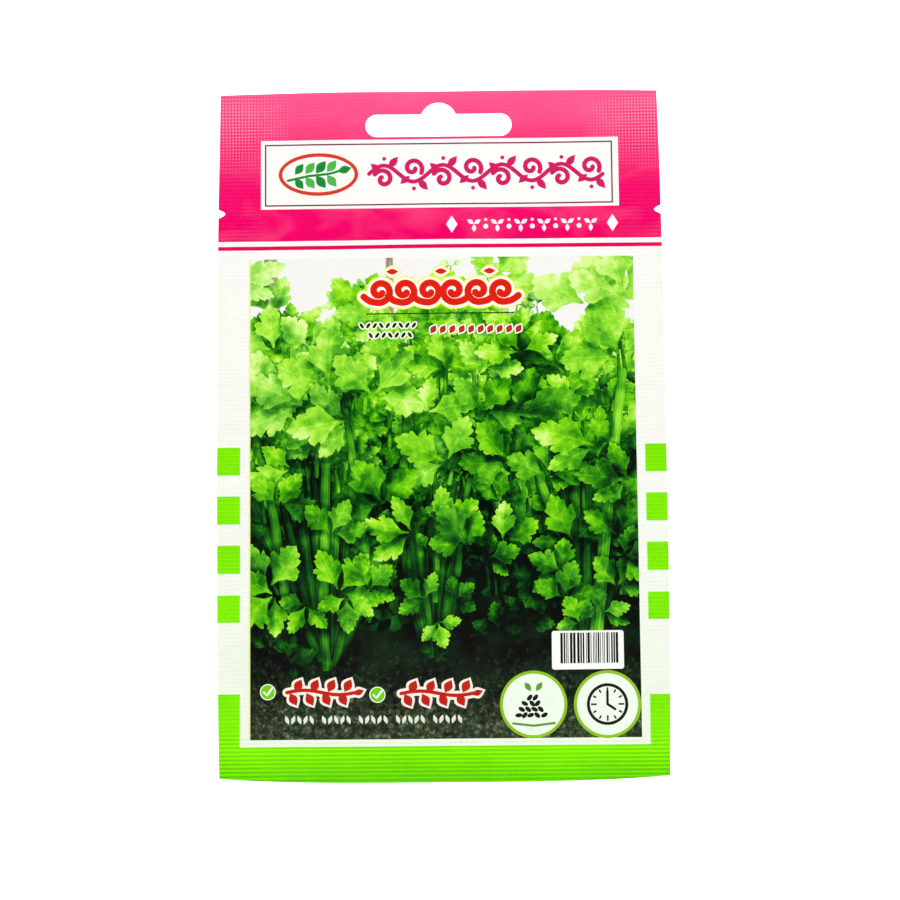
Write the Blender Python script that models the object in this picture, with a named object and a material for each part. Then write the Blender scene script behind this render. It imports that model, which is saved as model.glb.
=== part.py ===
"""A flat heat-sealed seed packet: two webs of laminate film sealed around their border, with the seeds between them.

Metres, +Z up. The packet hangs: its height runs along Z, its width along X, and its printed front faces -Y.
The origin is the crown of the hang slot, which is what a display peg carries. The webs meet at y = 0.
"""

import math

import bmesh
import bpy
from mathutils import Vector
from mathutils.geometry import delaunay_2d_cdt

# The packet's outline.
WIDTH = 0.0900
HEIGHT = 0.1390
SIDE_BOW = 0.0006
TOP_BOW = 0.0004
BOTTOM_BOW = 0.0011

# The two webs.
FILM_THICKNESS = 0.00012
BOND_GAP = 0.00003

# The sealed border. Inside it the webs part and hold the seeds.
TOP_SEAL = 0.0230
SIDE_SEAL = 0.0085
BOTTOM_SEAL = 0.0094
RIB_PITCH = 0.0008
RIB_COUNT = 11
RIB_RISE = 0.00016

# The pouch: how far each web stands off the seal plane, over its whole height and over the seeds.
POUCH_RISE = 0.0010
SEED_RISE = 0.0020
SEED_CLEARANCE = 0.0003

# The hang slot, a long bar with a round crown above its middle.
SLOT_WIDTH = 0.0298
SLOT_BAR = 0.0047
CROWN_WIDTH = 0.0070
CROWN_RISE = 0.0024
CROWN_BELOW_TOP = 0.0023

# The tear notch in each side edge.
NOTCH_BELOW_TOP = 0.0249
NOTCH_HEIGHT = 0.0019
NOTCH_DEPTH = 0.0014

# The heap of seeds: a flat oval, rounder than a rectangle and squarer than an ellipse.
HEAP_WIDTH = 0.0620
HEAP_HEIGHT = 0.0420
HEAP_FLOOR = 0.0070
HEAP_SQUARENESS = 2.5
HEAP_EDGE = 0.0001

# How finely the webs are divided.
COLUMN = 0.0052
ROW = 0.0050
RIB_COLUMN = 0.0150
MARGIN = 0.0012

TOP = CROWN_BELOW_TOP
BOTTOM = TOP - HEIGHT
POUCH_TOP = TOP - TOP_SEAL
POUCH_BOTTOM = BOTTOM + BOTTOM_SEAL
POUCH_HALF = WIDTH / 2 - SIDE_SEAL


def clear_scene():
    for obj in list(bpy.data.objects):
        bpy.data.objects.remove(obj)


def film_material(name, colour, roughness):
    material = bpy.data.materials.new(name)
    material.use_nodes = True
    shader = material.node_tree.nodes["Principled BSDF"]
    shader.inputs["Base Color"].default_value = (*colour, 1.0)
    shader.inputs["Roughness"].default_value = roughness
    shader.inputs["Metallic"].default_value = 0.0
    return material


def steps(low, high, spacing):
    """Evenly spaced values from low to high, both included, about spacing apart."""
    count = max(1, round((high - low) / spacing))
    return [low + (high - low) * i / count for i in range(count + 1)]


def half_width(z):
    """The side edges bow out slightly between the top and bottom corners."""
    along = 2 * (z - BOTTOM) / HEIGHT - 1
    return WIDTH / 2 - SIDE_BOW * abs(along) ** 3


def edge_bow(x, bow):
    """How far the top or bottom edge falls short of its middle at x."""
    return bow * (2 * abs(x) / WIDTH) ** 4


def stand_off(x, z):
    """How far each web is from the seal plane: nothing on the seals, most over the seeds."""
    up = (z - POUCH_BOTTOM) / (POUCH_TOP - POUCH_BOTTOM)
    across = x / POUCH_HALF
    if not 0 < up < 1 or abs(across) >= 1:
        return 0.0
    whole = 4 * up * (1 - up)
    low = 27 / 4 * up * (1 - up) ** 2
    return (POUCH_RISE * whole + SEED_RISE * low) * (1 - across**2)


def rib_wave(z):
    """The bottom seal is pressed into straight ribs, which carry both webs forward and back together."""
    cycles = (z - BOTTOM) / RIB_PITCH
    if not 0 < cycles < RIB_COUNT:
        return 0.0
    return RIB_RISE * (0.5 - abs(cycles % 1 - 0.5))


def rib_rows():
    return [BOTTOM + RIB_PITCH * i / 2 for i in range(1, 2 * RIB_COUNT + 1)]


def rows():
    """Heights of the horizontal division lines, the seal edges among them."""
    low = rib_rows()
    pouch = steps(POUCH_BOTTOM, POUCH_TOP, ROW)
    seal = steps(POUCH_TOP, TOP - MARGIN, ROW)
    return low + [z for z in pouch if z > low[-1] + MARGIN / 3] + seal[1:]


def columns():
    """Positions of the vertical division lines, the seal edges among them."""
    pouch = steps(-POUCH_HALF, POUCH_HALF, COLUMN)
    outer = POUCH_HALF + SIDE_SEAL / 2
    return [-outer] + pouch + [outer]


def notch(side):
    """A round-tipped V cut into one side edge, listed from its upper lip to its lower one."""
    z = TOP - NOTCH_BELOW_TOP
    lip = half_width(z)
    tip = NOTCH_HEIGHT / 5
    shape = [
        (lip, NOTCH_HEIGHT / 2),
        (lip - NOTCH_DEPTH * 0.80, tip),
        (lip - NOTCH_DEPTH, 0.0),
        (lip - NOTCH_DEPTH * 0.80, -tip),
        (lip, -NOTCH_HEIGHT / 2),
    ]
    return [Vector((side * x, z + dz)) for x, dz in shape]


def side_edge(side):
    """One side edge from the top corner to the bottom one, with its tear notch."""
    cut = notch(side)
    heights = [z for z in reversed(rows()) if z < TOP - MARGIN]
    edge = [Vector((side * half_width(z), z)) for z in heights]
    upper = [p for p in edge if p.y > cut[0].y + MARGIN / 2]
    lower = [p for p in edge if p.y < cut[-1].y - MARGIN / 2]
    return upper + cut + lower


def packet_outline():
    """The packet's edge, anticlockwise from the top right corner."""
    corner = half_width(TOP)
    across = steps(-corner, corner, COLUMN)
    top = [Vector((x, TOP - edge_bow(x, TOP_BOW))) for x in reversed(across)]
    bottom = [Vector((x, BOTTOM + edge_bow(x, BOTTOM_BOW))) for x in across]
    low = BOTTOM + BOTTOM_BOW
    left = [p for p in side_edge(-1) if p.y > low + RIB_PITCH / 4]
    right = [p for p in reversed(side_edge(1)) if p.y > low + RIB_PITCH / 4]
    return top + left + bottom + right


def arc(centre, radius, start, end, count):
    """Points on an arc, with angles in radians from +X towards +Z."""
    angles = [start + (end - start) * i / count for i in range(count + 1)]
    return [centre + radius * Vector((math.cos(a), math.sin(a))) for a in angles]


def slot_outline():
    """The hang slot, anticlockwise from the right end's foot."""
    end_radius = SLOT_BAR / 2
    bar_top = -CROWN_RISE
    end_x = SLOT_WIDTH / 2 - end_radius
    middle = bar_top - end_radius
    crown_radius = (CROWN_WIDTH**2 / 4 + CROWN_RISE**2) / (2 * CROWN_RISE)
    spread = math.asin(CROWN_WIDTH / 2 / crown_radius)
    up = math.pi / 2
    right = arc(Vector((end_x, middle)), end_radius, -up, up, 8)
    crown = arc(Vector((0.0, -crown_radius)), crown_radius, up - spread, up + spread, 10)
    left = arc(Vector((-end_x, middle)), end_radius, up, 3 * up, 8)
    return right + crown + left


def clear_of_slot(x, z):
    bar = abs(x) < SLOT_WIDTH / 2 + MARGIN and -CROWN_RISE - SLOT_BAR - MARGIN < z < -CROWN_RISE + MARGIN
    crown = abs(x) < CROWN_WIDTH / 2 + MARGIN and -CROWN_RISE <= z < MARGIN
    return not (bar or crown)


def clear_of_notches(x, z):
    near = abs(z - (TOP - NOTCH_BELOW_TOP)) < NOTCH_HEIGHT / 2 + MARGIN / 2
    return not (near and abs(x) > WIDTH / 2 - NOTCH_DEPTH - MARGIN)


def inside_packet(x, z):
    floor = BOTTOM + edge_bow(x, BOTTOM_BOW) + RIB_PITCH / 4
    ceiling = TOP - edge_bow(x, TOP_BOW) - MARGIN / 2
    return floor < z < ceiling and clear_of_slot(x, z) and clear_of_notches(x, z)


def packet_points():
    """Points inside the outline: a grid over the pouch and its seals, and long thin rows along the ribs."""
    ribs = rib_rows()
    rib_columns = [-POUCH_HALF] + steps(-RIB_COLUMN * 2, RIB_COLUMN * 2, RIB_COLUMN) + [POUCH_HALF]
    grid = [(x, z) for z in rows() if z > ribs[-1] for x in columns()]
    pressed = [(x, z) for z in ribs for x in rib_columns]
    return [Vector(p) for p in grid + pressed if inside_packet(*p)]


def divided(loops, points):
    """Triangles over the first loop, without the area of the others. Each is three corners in the XZ plane.

    The loops run anticlockwise.
    """
    corners = []
    areas = []
    for loop in loops:
        areas.append(list(range(len(corners), len(corners) + len(loop))))
        corners.extend(loop)
    flat, _, triangles, _, _, within = delaunay_2d_cdt(corners + points, [], areas, 0, 1e-7, True)
    return flat, [triangle for triangle, found in zip(triangles, within) if found == [0]]


def solid_between(name, flat, triangles, near, far, material):
    """A closed solid over the triangles, from the surface y = near(x, z) to the surface y = far(x, z)."""
    shape = bmesh.new()
    lower = [shape.verts.new((p.x, near(p.x, p.y), p.y)) for p in flat]
    for corners in triangles:
        shape.faces.new([lower[i] for i in corners])
    made = bmesh.ops.extrude_face_region(shape, geom=shape.faces[:])["geom"]
    for vert in (item for item in made if isinstance(item, bmesh.types.BMVert)):
        vert.co.y = far(vert.co.x, vert.co.z)
    bmesh.ops.recalc_face_normals(shape, faces=shape.faces[:])
    mesh = bpy.data.meshes.new(name)
    shape.to_mesh(mesh)
    shape.free()
    mesh.materials.append(material)
    mesh.shade_smooth()
    mesh.set_sharp_from_angle(angle=math.radians(30))
    obj = bpy.data.objects.new(name, mesh)
    bpy.context.scene.collection.objects.link(obj)
    return obj


def add_film(name, side, material):
    """One web. side is -1 for the front, whose outer face looks along -Y, and +1 for the back."""
    flat, triangles = divided([packet_outline(), slot_outline()], packet_points())

    def inner(x, z):
        return side * (BOND_GAP / 2 + stand_off(x, z)) + rib_wave(z)

    def outer(x, z):
        return inner(x, z) + side * FILM_THICKNESS

    return solid_between(name, flat, triangles, inner, outer, material)


def heap_outline():
    """The heap's edge, a superellipse that stands just above the bottom seal."""
    middle = POUCH_BOTTOM + HEAP_FLOOR + HEAP_HEIGHT / 2
    points = []
    for i in range(36):
        angle = 2 * math.pi * i / 36
        reach = [
            math.copysign(abs(part) ** (2 / HEAP_SQUARENESS), part)
            for part in (math.cos(angle), math.sin(angle))
        ]
        points.append(Vector((HEAP_WIDTH / 2 * reach[0], middle + HEAP_HEIGHT / 2 * reach[1])))
    return points


def heap_depth(x, z):
    """How far in from the heap's edge a point lies: 0 on the edge and 1 at the middle."""
    middle = POUCH_BOTTOM + HEAP_FLOOR + HEAP_HEIGHT / 2
    across = abs(2 * x / HEAP_WIDTH) ** HEAP_SQUARENESS
    along = abs(2 * (z - middle) / HEAP_HEIGHT) ** HEAP_SQUARENESS
    return max(0.0, 1 - across - along)


def add_seeds(material):
    """The heap of loose seeds, which fills the space between the webs and thins out to its edge."""
    low = POUCH_BOTTOM + HEAP_FLOOR
    grid = [
        Vector((x, z))
        for z in steps(low, low + HEAP_HEIGHT, ROW)
        for x in steps(-HEAP_WIDTH / 2, HEAP_WIDTH / 2, COLUMN)
        if heap_depth(x, z) > 0.12
    ]
    flat, triangles = divided([heap_outline()], grid)

    def half_depth(x, z):
        room = stand_off(x, z) - SEED_CLEARANCE
        return HEAP_EDGE + (room - HEAP_EDGE) * heap_depth(x, z) ** 0.4

    return solid_between(
        "seed_fill",
        flat,
        triangles,
        lambda x, z: -half_depth(x, z),
        half_depth,
        material,
    )


def main():
    clear_scene()
    add_film("front_film", -1, film_material("printed_film", (0.90, 0.92, 0.88), 0.28))
    add_film("back_film", 1, film_material("plain_film", (0.88, 0.89, 0.87), 0.32))
    add_seeds(film_material("seeds", (0.16, 0.09, 0.04), 0.75))


main()
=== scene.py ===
import math
import random
from dataclasses import dataclass, field
from typing import Callable

import bpy
import numpy as np
from mathutils import Euler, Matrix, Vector
from mathutils.bvhtree import BVHTree
from mathutils.geometry import delaunay_2d_cdt
from mathutils.kdtree import KDTree


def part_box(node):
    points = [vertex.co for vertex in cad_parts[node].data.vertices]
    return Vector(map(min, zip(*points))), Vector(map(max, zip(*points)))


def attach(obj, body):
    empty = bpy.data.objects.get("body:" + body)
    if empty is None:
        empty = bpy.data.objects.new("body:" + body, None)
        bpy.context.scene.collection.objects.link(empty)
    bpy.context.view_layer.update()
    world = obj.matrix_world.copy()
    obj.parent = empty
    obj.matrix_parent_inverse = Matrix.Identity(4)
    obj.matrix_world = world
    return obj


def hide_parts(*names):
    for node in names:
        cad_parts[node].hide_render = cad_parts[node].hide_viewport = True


# The looks of a flat heat-sealed seed packet: its printed front web, its back web and the seeds between them.
#
# The artwork is laid out in millimetres on the packet's face: x from the middle, up from the top edge, so
# every up is negative. The world is in metres, +Z up, and the printed front faces -Y.

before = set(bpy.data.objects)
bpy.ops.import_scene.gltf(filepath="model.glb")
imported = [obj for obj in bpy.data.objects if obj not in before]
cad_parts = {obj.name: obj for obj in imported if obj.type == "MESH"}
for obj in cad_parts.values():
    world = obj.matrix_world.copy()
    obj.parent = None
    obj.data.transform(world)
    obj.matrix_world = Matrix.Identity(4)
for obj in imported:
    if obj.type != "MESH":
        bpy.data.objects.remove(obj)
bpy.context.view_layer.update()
film_low, film_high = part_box("front_film")

MM = 0.001
WIDTH = round((film_high.x - film_low.x) / MM, 1)
HEIGHT = round((film_high.z - film_low.z) / MM, 1)
TOP = film_high.z
HALF = WIDTH / 2

# The construction that the webs share with the CAD solids.
SIDE_BOW = 0.6
TOP_BOW = 0.4
BOTTOM_BOW = 1.1
FILM = 0.12
BOND_GAP = 0.03
TOP_SEAL = 23.0
SIDE_SEAL = 8.5
BOTTOM_SEAL = 9.4
RIB_PITCH = 0.8
RIB_COUNT = 11
RIB_RISE = 0.16
POUCH_RISE = 1.0
SEED_RISE = 2.0
SEED_CLEARANCE = 0.3
SLOT_WIDTH = 29.8
SLOT_BAR = 4.7
CROWN_WIDTH = 7.0
CROWN_RISE = 2.4
CROWN_BELOW_TOP = 2.3
NOTCH_BELOW_TOP = 24.9
NOTCH_HEIGHT = 1.9
NOTCH_DEPTH = 1.4
HEAP_WIDTH = 62.0
HEAP_HEIGHT = 42.0
HEAP_FLOOR = 7.0
HEAP_SQUARENESS = 2.5

RIBS_TOP = RIB_PITCH * RIB_COUNT - HEIGHT
POUCH_TOP = -TOP_SEAL
POUCH_BOTTOM = BOTTOM_SEAL - HEIGHT
POUCH_HALF = HALF - SIDE_SEAL
HEAP_MIDDLE = POUCH_BOTTOM + HEAP_FLOOR + HEAP_HEIGHT / 2

# Fine pressed texture of the heat seals, and how finely the webs are modelled.
CRIMP_PITCH = 0.4
CRIMP_RISE = 0.014
CRIMP_ROWS = 4
RIB_ROWS = 8
INNER_ROWS = 44
INNER_COLUMNS = 30
SEAL_ROWS = (-13.5, -18.0, 4.5 - HEIGHT)
FIELD_STEP = 0.9
FIELD_INSET = 0.8
FIELD_STRAY = 0.25
HEADER_STEP = 1.6

# The main fields of the print. An area is (left, right, top, bottom) and a band is (top, bottom).
HEADER_END = -30.7
HEADER_PANEL = (-36.2, 36.4, -9.9, -24.1)
HEADER_FRAME = (-35.4, 35.2, -10.7, -23.5)
FRAME_LINE = 0.3
STRIPE = (-31.7, -32.5)
PICTURE = (-38.3, 39.0, -34.4, -130.5)
SQUARES = ((-72.5, -78.1), (-82.3, -87.9), (-92.1, -97.7), (-102.0, -107.4))
LEFT_MARGIN = -40.35
RIGHT_MARGIN = 40.7
LEFT_FOOT_TOP = -121.5
RIGHT_FOOT_TOP = -122.1
FOOTER_TOP = -131.9
BACK_PANEL = (-37.0, 37.0, -35.5, -129.0)


# ---------------------------------------------------------------- colours


def linear(code):
    """A linear RGB triple from a hex code."""
    parts = [int(code[i : i + 2], 16) / 255 for i in (1, 3, 5)]
    return tuple(c / 12.92 if c <= 0.04045 else ((c + 0.055) / 1.055) ** 2.4 for c in parts)


WHITE = "#fcfcf8"
PINK = "#cf1f63"
LIME = "#80ea00"
RED = "#dd1f0e"
DARK_RED = "#bf2010"
BLACK = "#10120f"


# ---------------------------------------------------------------- outlines


def arc(x, up, radius, start, end, count):
    """Points on a circle's arc. Angles in degrees, anticlockwise from +X."""
    angles = np.radians(np.linspace(start, end, count + 1))
    return [(x + radius * math.cos(a), up + radius * math.sin(a)) for a in angles]


def ellipse(x, up, across, high, turn=0.0, count=28):
    """An ellipse by its half axes, turned by degrees."""
    cos, sin = math.cos(math.radians(turn)), math.sin(math.radians(turn))
    ring = [2 * math.pi * i / count for i in range(count)]
    flat = [(across * math.cos(a), high * math.sin(a)) for a in ring]
    return [(x + a * cos - b * sin, up + a * sin + b * cos) for a, b in flat]


def circle(x, up, radius, count):
    return ellipse(x, up, radius, radius, 0, count)


def rectangle(left, right, top, bottom):
    return [(left, bottom), (right, bottom), (right, top), (left, top)]


def rounded(left, right, top, bottom, radius):
    corners = (
        (right - radius, bottom + radius, -90),
        (right - radius, top - radius, 0),
        (left + radius, top - radius, 90),
        (left + radius, bottom + radius, 180),
    )
    return [p for x, up, start in corners for p in arc(x, up, radius, start, start + 90, 6)]


def smooth(points, spans=6):
    """A Catmull-Rom curve through the points."""
    ends = [points[0], *points, points[-1]]
    out = []
    for a, b, c, d in zip(ends, ends[1:], ends[2:], ends[3:]):
        for i in range(spans):
            t = i / spans
            out.append(
                tuple(
                    0.5
                    * (
                        2 * q
                        + (r - p) * t
                        + (2 * p - 5 * q + 4 * r - s) * t**2
                        + (3 * q - p - 3 * r + s) * t**3
                    )
                    for p, q, r, s in zip(a, b, c, d)
                )
            )
    return [*out, tuple(points[-1])]


def spiral(x, up, outer, inner, start, turns, count=30):
    """A path that winds in from the outer radius to the inner one. A negative turn winds clockwise."""
    path = []
    for i in range(count + 1):
        t = i / count
        angle = math.radians(start + 360 * turns * t)
        radius = outer + (inner - outer) * t
        path.append((x + radius * math.cos(angle), up + radius * math.sin(angle)))
    return path


def ribbon(path, width, end_width=None):
    """The outline of a stroke of this width along a path, with round ends."""
    end_width = width if end_width is None else end_width
    line = np.array(path, float)
    along = np.gradient(line, axis=0)
    along /= np.maximum(np.linalg.norm(along, axis=1, keepdims=True), 1e-9)
    beside = np.stack([-along[:, 1], along[:, 0]], axis=1)
    half = np.linspace(width, end_width, len(line))[:, None] / 2
    left, right = line + beside * half, line - beside * half
    ends = []
    for point, direction, radius in ((line[-1], along[-1], half[-1, 0]), (line[0], -along[0], half[0, 0])):
        towards = math.degrees(math.atan2(direction[1], direction[0]))
        ends.append(arc(*point, radius, towards - 90, towards + 90, 5)[1:-1])
    return [*map(tuple, right), *ends[0], *map(tuple, left[::-1]), *ends[1]]


def close_set(loop, longest=1.5):
    """The same outline with its long sides divided, so that it can follow the bulge of the web."""
    out = []
    for a, b in zip(loop, [*loop[1:], loop[0]]):
        count = math.ceil(math.dist(a, b) / longest)
        out.extend((a[0] + (b[0] - a[0]) * i / count, a[1] + (b[1] - a[1]) * i / count) for i in range(count))
    return out


def signed_area(loop):
    xs, ups = np.array(loop).T
    return float(np.dot(xs, np.roll(ups, -1)) - np.dot(ups, np.roll(xs, -1))) / 2


# ---------------------------------------------------------------- the packet's shape


def half_width(up):
    return HALF - SIDE_BOW * abs(2 * (up + HEIGHT) / HEIGHT - 1) ** 3


def edge_bow(x, bow):
    return bow * (abs(x) / HALF) ** 4


def notch(side):
    """A round-tipped V in one side edge, from its upper lip to its lower one."""
    lip = half_width(-NOTCH_BELOW_TOP)
    tip = NOTCH_HEIGHT / 5
    inner = lip - NOTCH_DEPTH * 0.8
    shape = (
        (lip, NOTCH_HEIGHT / 2),
        (inner, tip),
        (lip - NOTCH_DEPTH, 0.0),
        (inner, -tip),
        (lip, -NOTCH_HEIGHT / 2),
    )
    return [(side * x, -NOTCH_BELOW_TOP + rise) for x, rise in shape]


def side_edge(side):
    cut = notch(side)
    heights = [up for up in np.linspace(0, -HEIGHT, 30)[1:-1] if abs(up + NOTCH_BELOW_TOP) > NOTCH_HEIGHT]
    above = [(side * half_width(up), up) for up in heights if up > cut[0][1]]
    below = [(side * half_width(up), up) for up in heights if up < cut[0][1]]
    return above + cut + below


def packet_outline():
    corner = half_width(0)
    across = np.linspace(-corner, corner, 25)
    top = [(x, -edge_bow(x, TOP_BOW)) for x in across[::-1]]
    bottom = [(x, edge_bow(x, BOTTOM_BOW) - HEIGHT) for x in across]
    return top + side_edge(-1) + bottom + side_edge(1)[::-1]


def slot_outline():
    """The hang slot: a bar with full-round ends and a round crown above its middle."""
    end = SLOT_BAR / 2
    bar_top = -CROWN_BELOW_TOP - CROWN_RISE
    foot = SLOT_WIDTH / 2 - end
    radius = (CROWN_WIDTH**2 / 4 + CROWN_RISE**2) / (2 * CROWN_RISE)
    spread = math.degrees(math.asin(CROWN_WIDTH / 2 / radius))
    right = arc(foot, bar_top - end, end, -90, 90, 20)
    crown = arc(0.0, -CROWN_BELOW_TOP - radius, radius, 90 - spread, 90 + spread, 24)
    left = arc(-foot, bar_top - end, end, 90, 270, 20)
    return right + crown + left


def pouch_share(x, up):
    """How far into the pouch a point lies: (height share, side share), each 0 to 1 inside it."""
    return (up - POUCH_BOTTOM) / (POUCH_TOP - POUCH_BOTTOM), x / POUCH_HALF


def stand_off(x, up):
    """How far each web stands off the seal plane, in millimetres."""
    rise, across = pouch_share(x, up)
    rise = np.clip(rise, 0, 1)
    across = np.clip(across, -1, 1)
    whole = POUCH_RISE * 4 * rise * (1 - rise)
    low = SEED_RISE * 27 / 4 * rise * (1 - rise) ** 2
    return (whole + low) * (1 - across**2)


def pressed(x, up):
    """The texture pressed into the seals: straight ribs at the foot, fine crimp at the sides."""
    cycles = (up + HEIGHT) / RIB_PITCH
    ribbed = np.clip(np.minimum(cycles, RIB_COUNT - cycles) * 2, 0, 1)
    ribs = RIB_RISE * 0.5 * np.sin(np.pi * cycles) ** 2 * ribbed
    beside = np.clip((np.abs(x) - POUCH_HALF) / 0.6, 0, 1) * (1 - ribbed)
    crimp = CRIMP_RISE * np.sin(2 * np.pi * up / CRIMP_PITCH) * beside
    return ribs + crimp


def waver(x, up):
    """The slight wave of the whole packet, and the frill of its side seals."""
    wave = 0.10 * np.sin(x / 9.5 + up / 17 + 0.6) + 0.07 * np.sin(x / 5.1 - up / 11 + 2.1)
    edge = np.clip((np.abs(x) - POUCH_HALF + 4) / 8, 0, 1) ** 2
    frill = 0.10 * np.sin(up / 4.3 + np.sign(x) * 1.1) * edge
    return wave + frill


def slack(x, up, side):
    """The soft dents and creases of one web inside the pouch, a share of how far it stands off."""
    rise, across = pouch_share(x, up)
    near_top = np.exp(-(((1 - rise) / 0.16) ** 2))
    gathers = 0.16 * near_top * np.sin(x / 2.9 + side) * np.clip(1 - rise, 0, 1) * 6
    dents = 0.06 * np.sin(x / 7.0 + 1.7 * side) * np.sin(up / 9.0 - 0.8 * side)
    near_side = np.clip((np.abs(across) - 0.55) / 0.45, 0, 1)
    puckers = 0.09 * near_side * np.sin(up / 2.6 + 2 * np.sin(up / 17) + side)
    return (gathers + dents + puckers) * stand_off(x, up)


def web_face(x, up, side, outer):
    """The y of a web's face in millimetres. side is -1 for the front web and +1 for the back one."""
    gap = BOND_GAP / 2 + stand_off(x, up) + slack(x, up, side)
    face = waver(x, up) + side * gap
    return face + side * FILM + pressed(x, up) if outer else face


# ---------------------------------------------------------------- inks


@dataclass
class Ink:
    """One flat printed shape. A later ink covers an earlier one."""

    loop: list
    material: str
    values: tuple
    panel: int | None
    casts: bool
    local: Callable | None


@dataclass
class Plate:
    """All the inks of one web's face. Shapes laid while panel is set show only inside that ink."""

    inks: list = field(default_factory=list)
    panel: int | None = None

    def ink(self, loop, material="flat_ink", values=WHITE, local=None, casts=False):
        """Lays a shape. values is a spot colour's hex code, or the three numbers that the material reads."""
        if signed_area(loop) < 0:
            loop = loop[::-1]
        if isinstance(values, str):
            values = linear(values)
        self.inks.append(Ink(close_set(loop), material, values, self.panel, casts, local))
        return len(self.inks) - 1

    def stroke(self, path, width, values, piece=4):
        """A line of even width. It is laid in short pieces, so that a tight curl doesn't cross itself."""
        for first in range(0, len(path) - 1, piece):
            self.ink(ribbon(path[first : first + piece + 1], width), values=values)


def seal_rows():
    """Division lines along the ribs and the crimp, each as a list of points."""
    edge = HALF + 1
    across = np.linspace(-edge, edge, 36)
    lines = [[(x, up) for x in across] for up in np.arange(-HEIGHT, RIBS_TOP, RIB_PITCH / RIB_ROWS)]
    for up in np.arange(RIBS_TOP, 0.0, CRIMP_PITCH / CRIMP_ROWS):
        for ends in ((-edge, -POUCH_HALF), (POUCH_HALF, edge)):
            lines.append([(x, up) for x in np.linspace(*ends, 4)])
    return lines


def field_points(rng):
    """Points that carry the bulge and the shading: scattered and close over the picture, wider above it."""
    picture_top = PICTURE[2]
    stray = (-FIELD_STRAY, FIELD_STRAY)
    points = []
    for x in np.arange(-POUCH_HALF + FIELD_INSET, POUCH_HALF, FIELD_STEP):
        for up in np.arange(RIBS_TOP + FIELD_INSET, picture_top, FIELD_STEP):
            points.append((x + rng.uniform(*stray), up + rng.uniform(*stray)))
        for up in np.arange(picture_top, -1.0, HEADER_STEP):
            points.append((x, up))
    return points


# The numbers of the two inks that every plate starts with.
OUTLINE = 0
SLOT = 1

# Blender's triangulation returns every triangle, and joins points that are nearer to each other than this.
ALL_TRIANGLES = 0
WELD = 1e-6


def lay(loops):
    """The loops' points in one list, no loose edges, and each loop as the numbers of its points."""
    points = []
    areas = []
    for loop in loops:
        areas.append(list(range(len(points), len(points) + len(loop))))
        points.extend(Vector(point) for point in loop)
    return points, [], areas


def topmost(plate, found):
    """The number of the ink on top among those found at a place."""
    return next(i for i in sorted(found, reverse=True) if plate.inks[i].panel in {*found, None})


def seen_edges(triangles, tops):
    """The edges whose two sides show different inks."""
    beside = {}
    for triangle, top in zip(triangles, tops):
        for a, b in zip(triangle, (triangle[1], triangle[2], triangle[0])):
            beside.setdefault((min(a, b), max(a, b)), set()).add(top)
    return [edge for edge, found in beside.items() if len(found) > 1]


def divide(plate, rng):
    """Cuts the web along every edge of an ink that shows.

    The inks are first laid over each other, which finds the edges that show, and the web is then divided
    along those. Returns the points, the triangles and each triangle's topmost ink.
    """
    loops = lay(ink.loop for ink in plate.inks)
    laid, _, covers, _, _, within = delaunay_2d_cdt(*loops, ALL_TRIANGLES, WELD, True)
    on_web = [i for i, found in enumerate(within) if OUTLINE in found and SLOT not in found]
    covers = [covers[i] for i in on_web]
    covers_tops = [topmost(plate, within[i]) for i in on_web]
    shown = seen_edges(covers, covers_tops)
    used = sorted({end for edge in shown for end in edge})

    points, _, areas = lay([plate.inks[OUTLINE].loop, plate.inks[SLOT].loop])
    fresh = {old: len(points) + new for new, old in enumerate(used)}
    points.extend(laid[old] for old in used)
    edges = [(fresh[a], fresh[b]) for a, b in shown]
    for row in seal_rows():
        first = len(points)
        edges.extend((first + i, first + i + 1) for i in range(len(row) - 1))
        points.extend(Vector(point) for point in row)
    points.extend(Vector(point) for point in field_points(rng))
    flat, _, triangles, _, _, within = delaunay_2d_cdt(points, edges, areas, ALL_TRIANGLES, WELD, True)
    flat = np.array([(p.x, p.y) for p in flat])
    triangles = np.array([t for t, found in zip(triangles, within) if found == [OUTLINE]])

    under = BVHTree.FromPolygons([(p.x, p.y, 0.0) for p in laid], covers)
    middles = flat[triangles].mean(axis=1)
    tops = [covers_tops[under.find_nearest((x, up, 0.0))[2]] for x, up in middles.tolist()]
    return flat, triangles, np.array(tops)


def boundary_loops(triangles):
    """The rims of a triangulated area, each as a list of point numbers in the triangles' own direction."""
    ends = np.concatenate([triangles[:, [0, 1]], triangles[:, [1, 2]], triangles[:, [2, 0]]])
    there = {tuple(edge) for edge in ends.tolist()}
    following = {a: b for a, b in there if (b, a) not in there}
    loops = []
    while following:
        start = next(iter(following))
        loop = [start]
        while following[loop[-1]] != start:
            loop.append(following.pop(loop[-1]))
        following.pop(loop[-1])
        loops.append(loop)
    return loops


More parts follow.
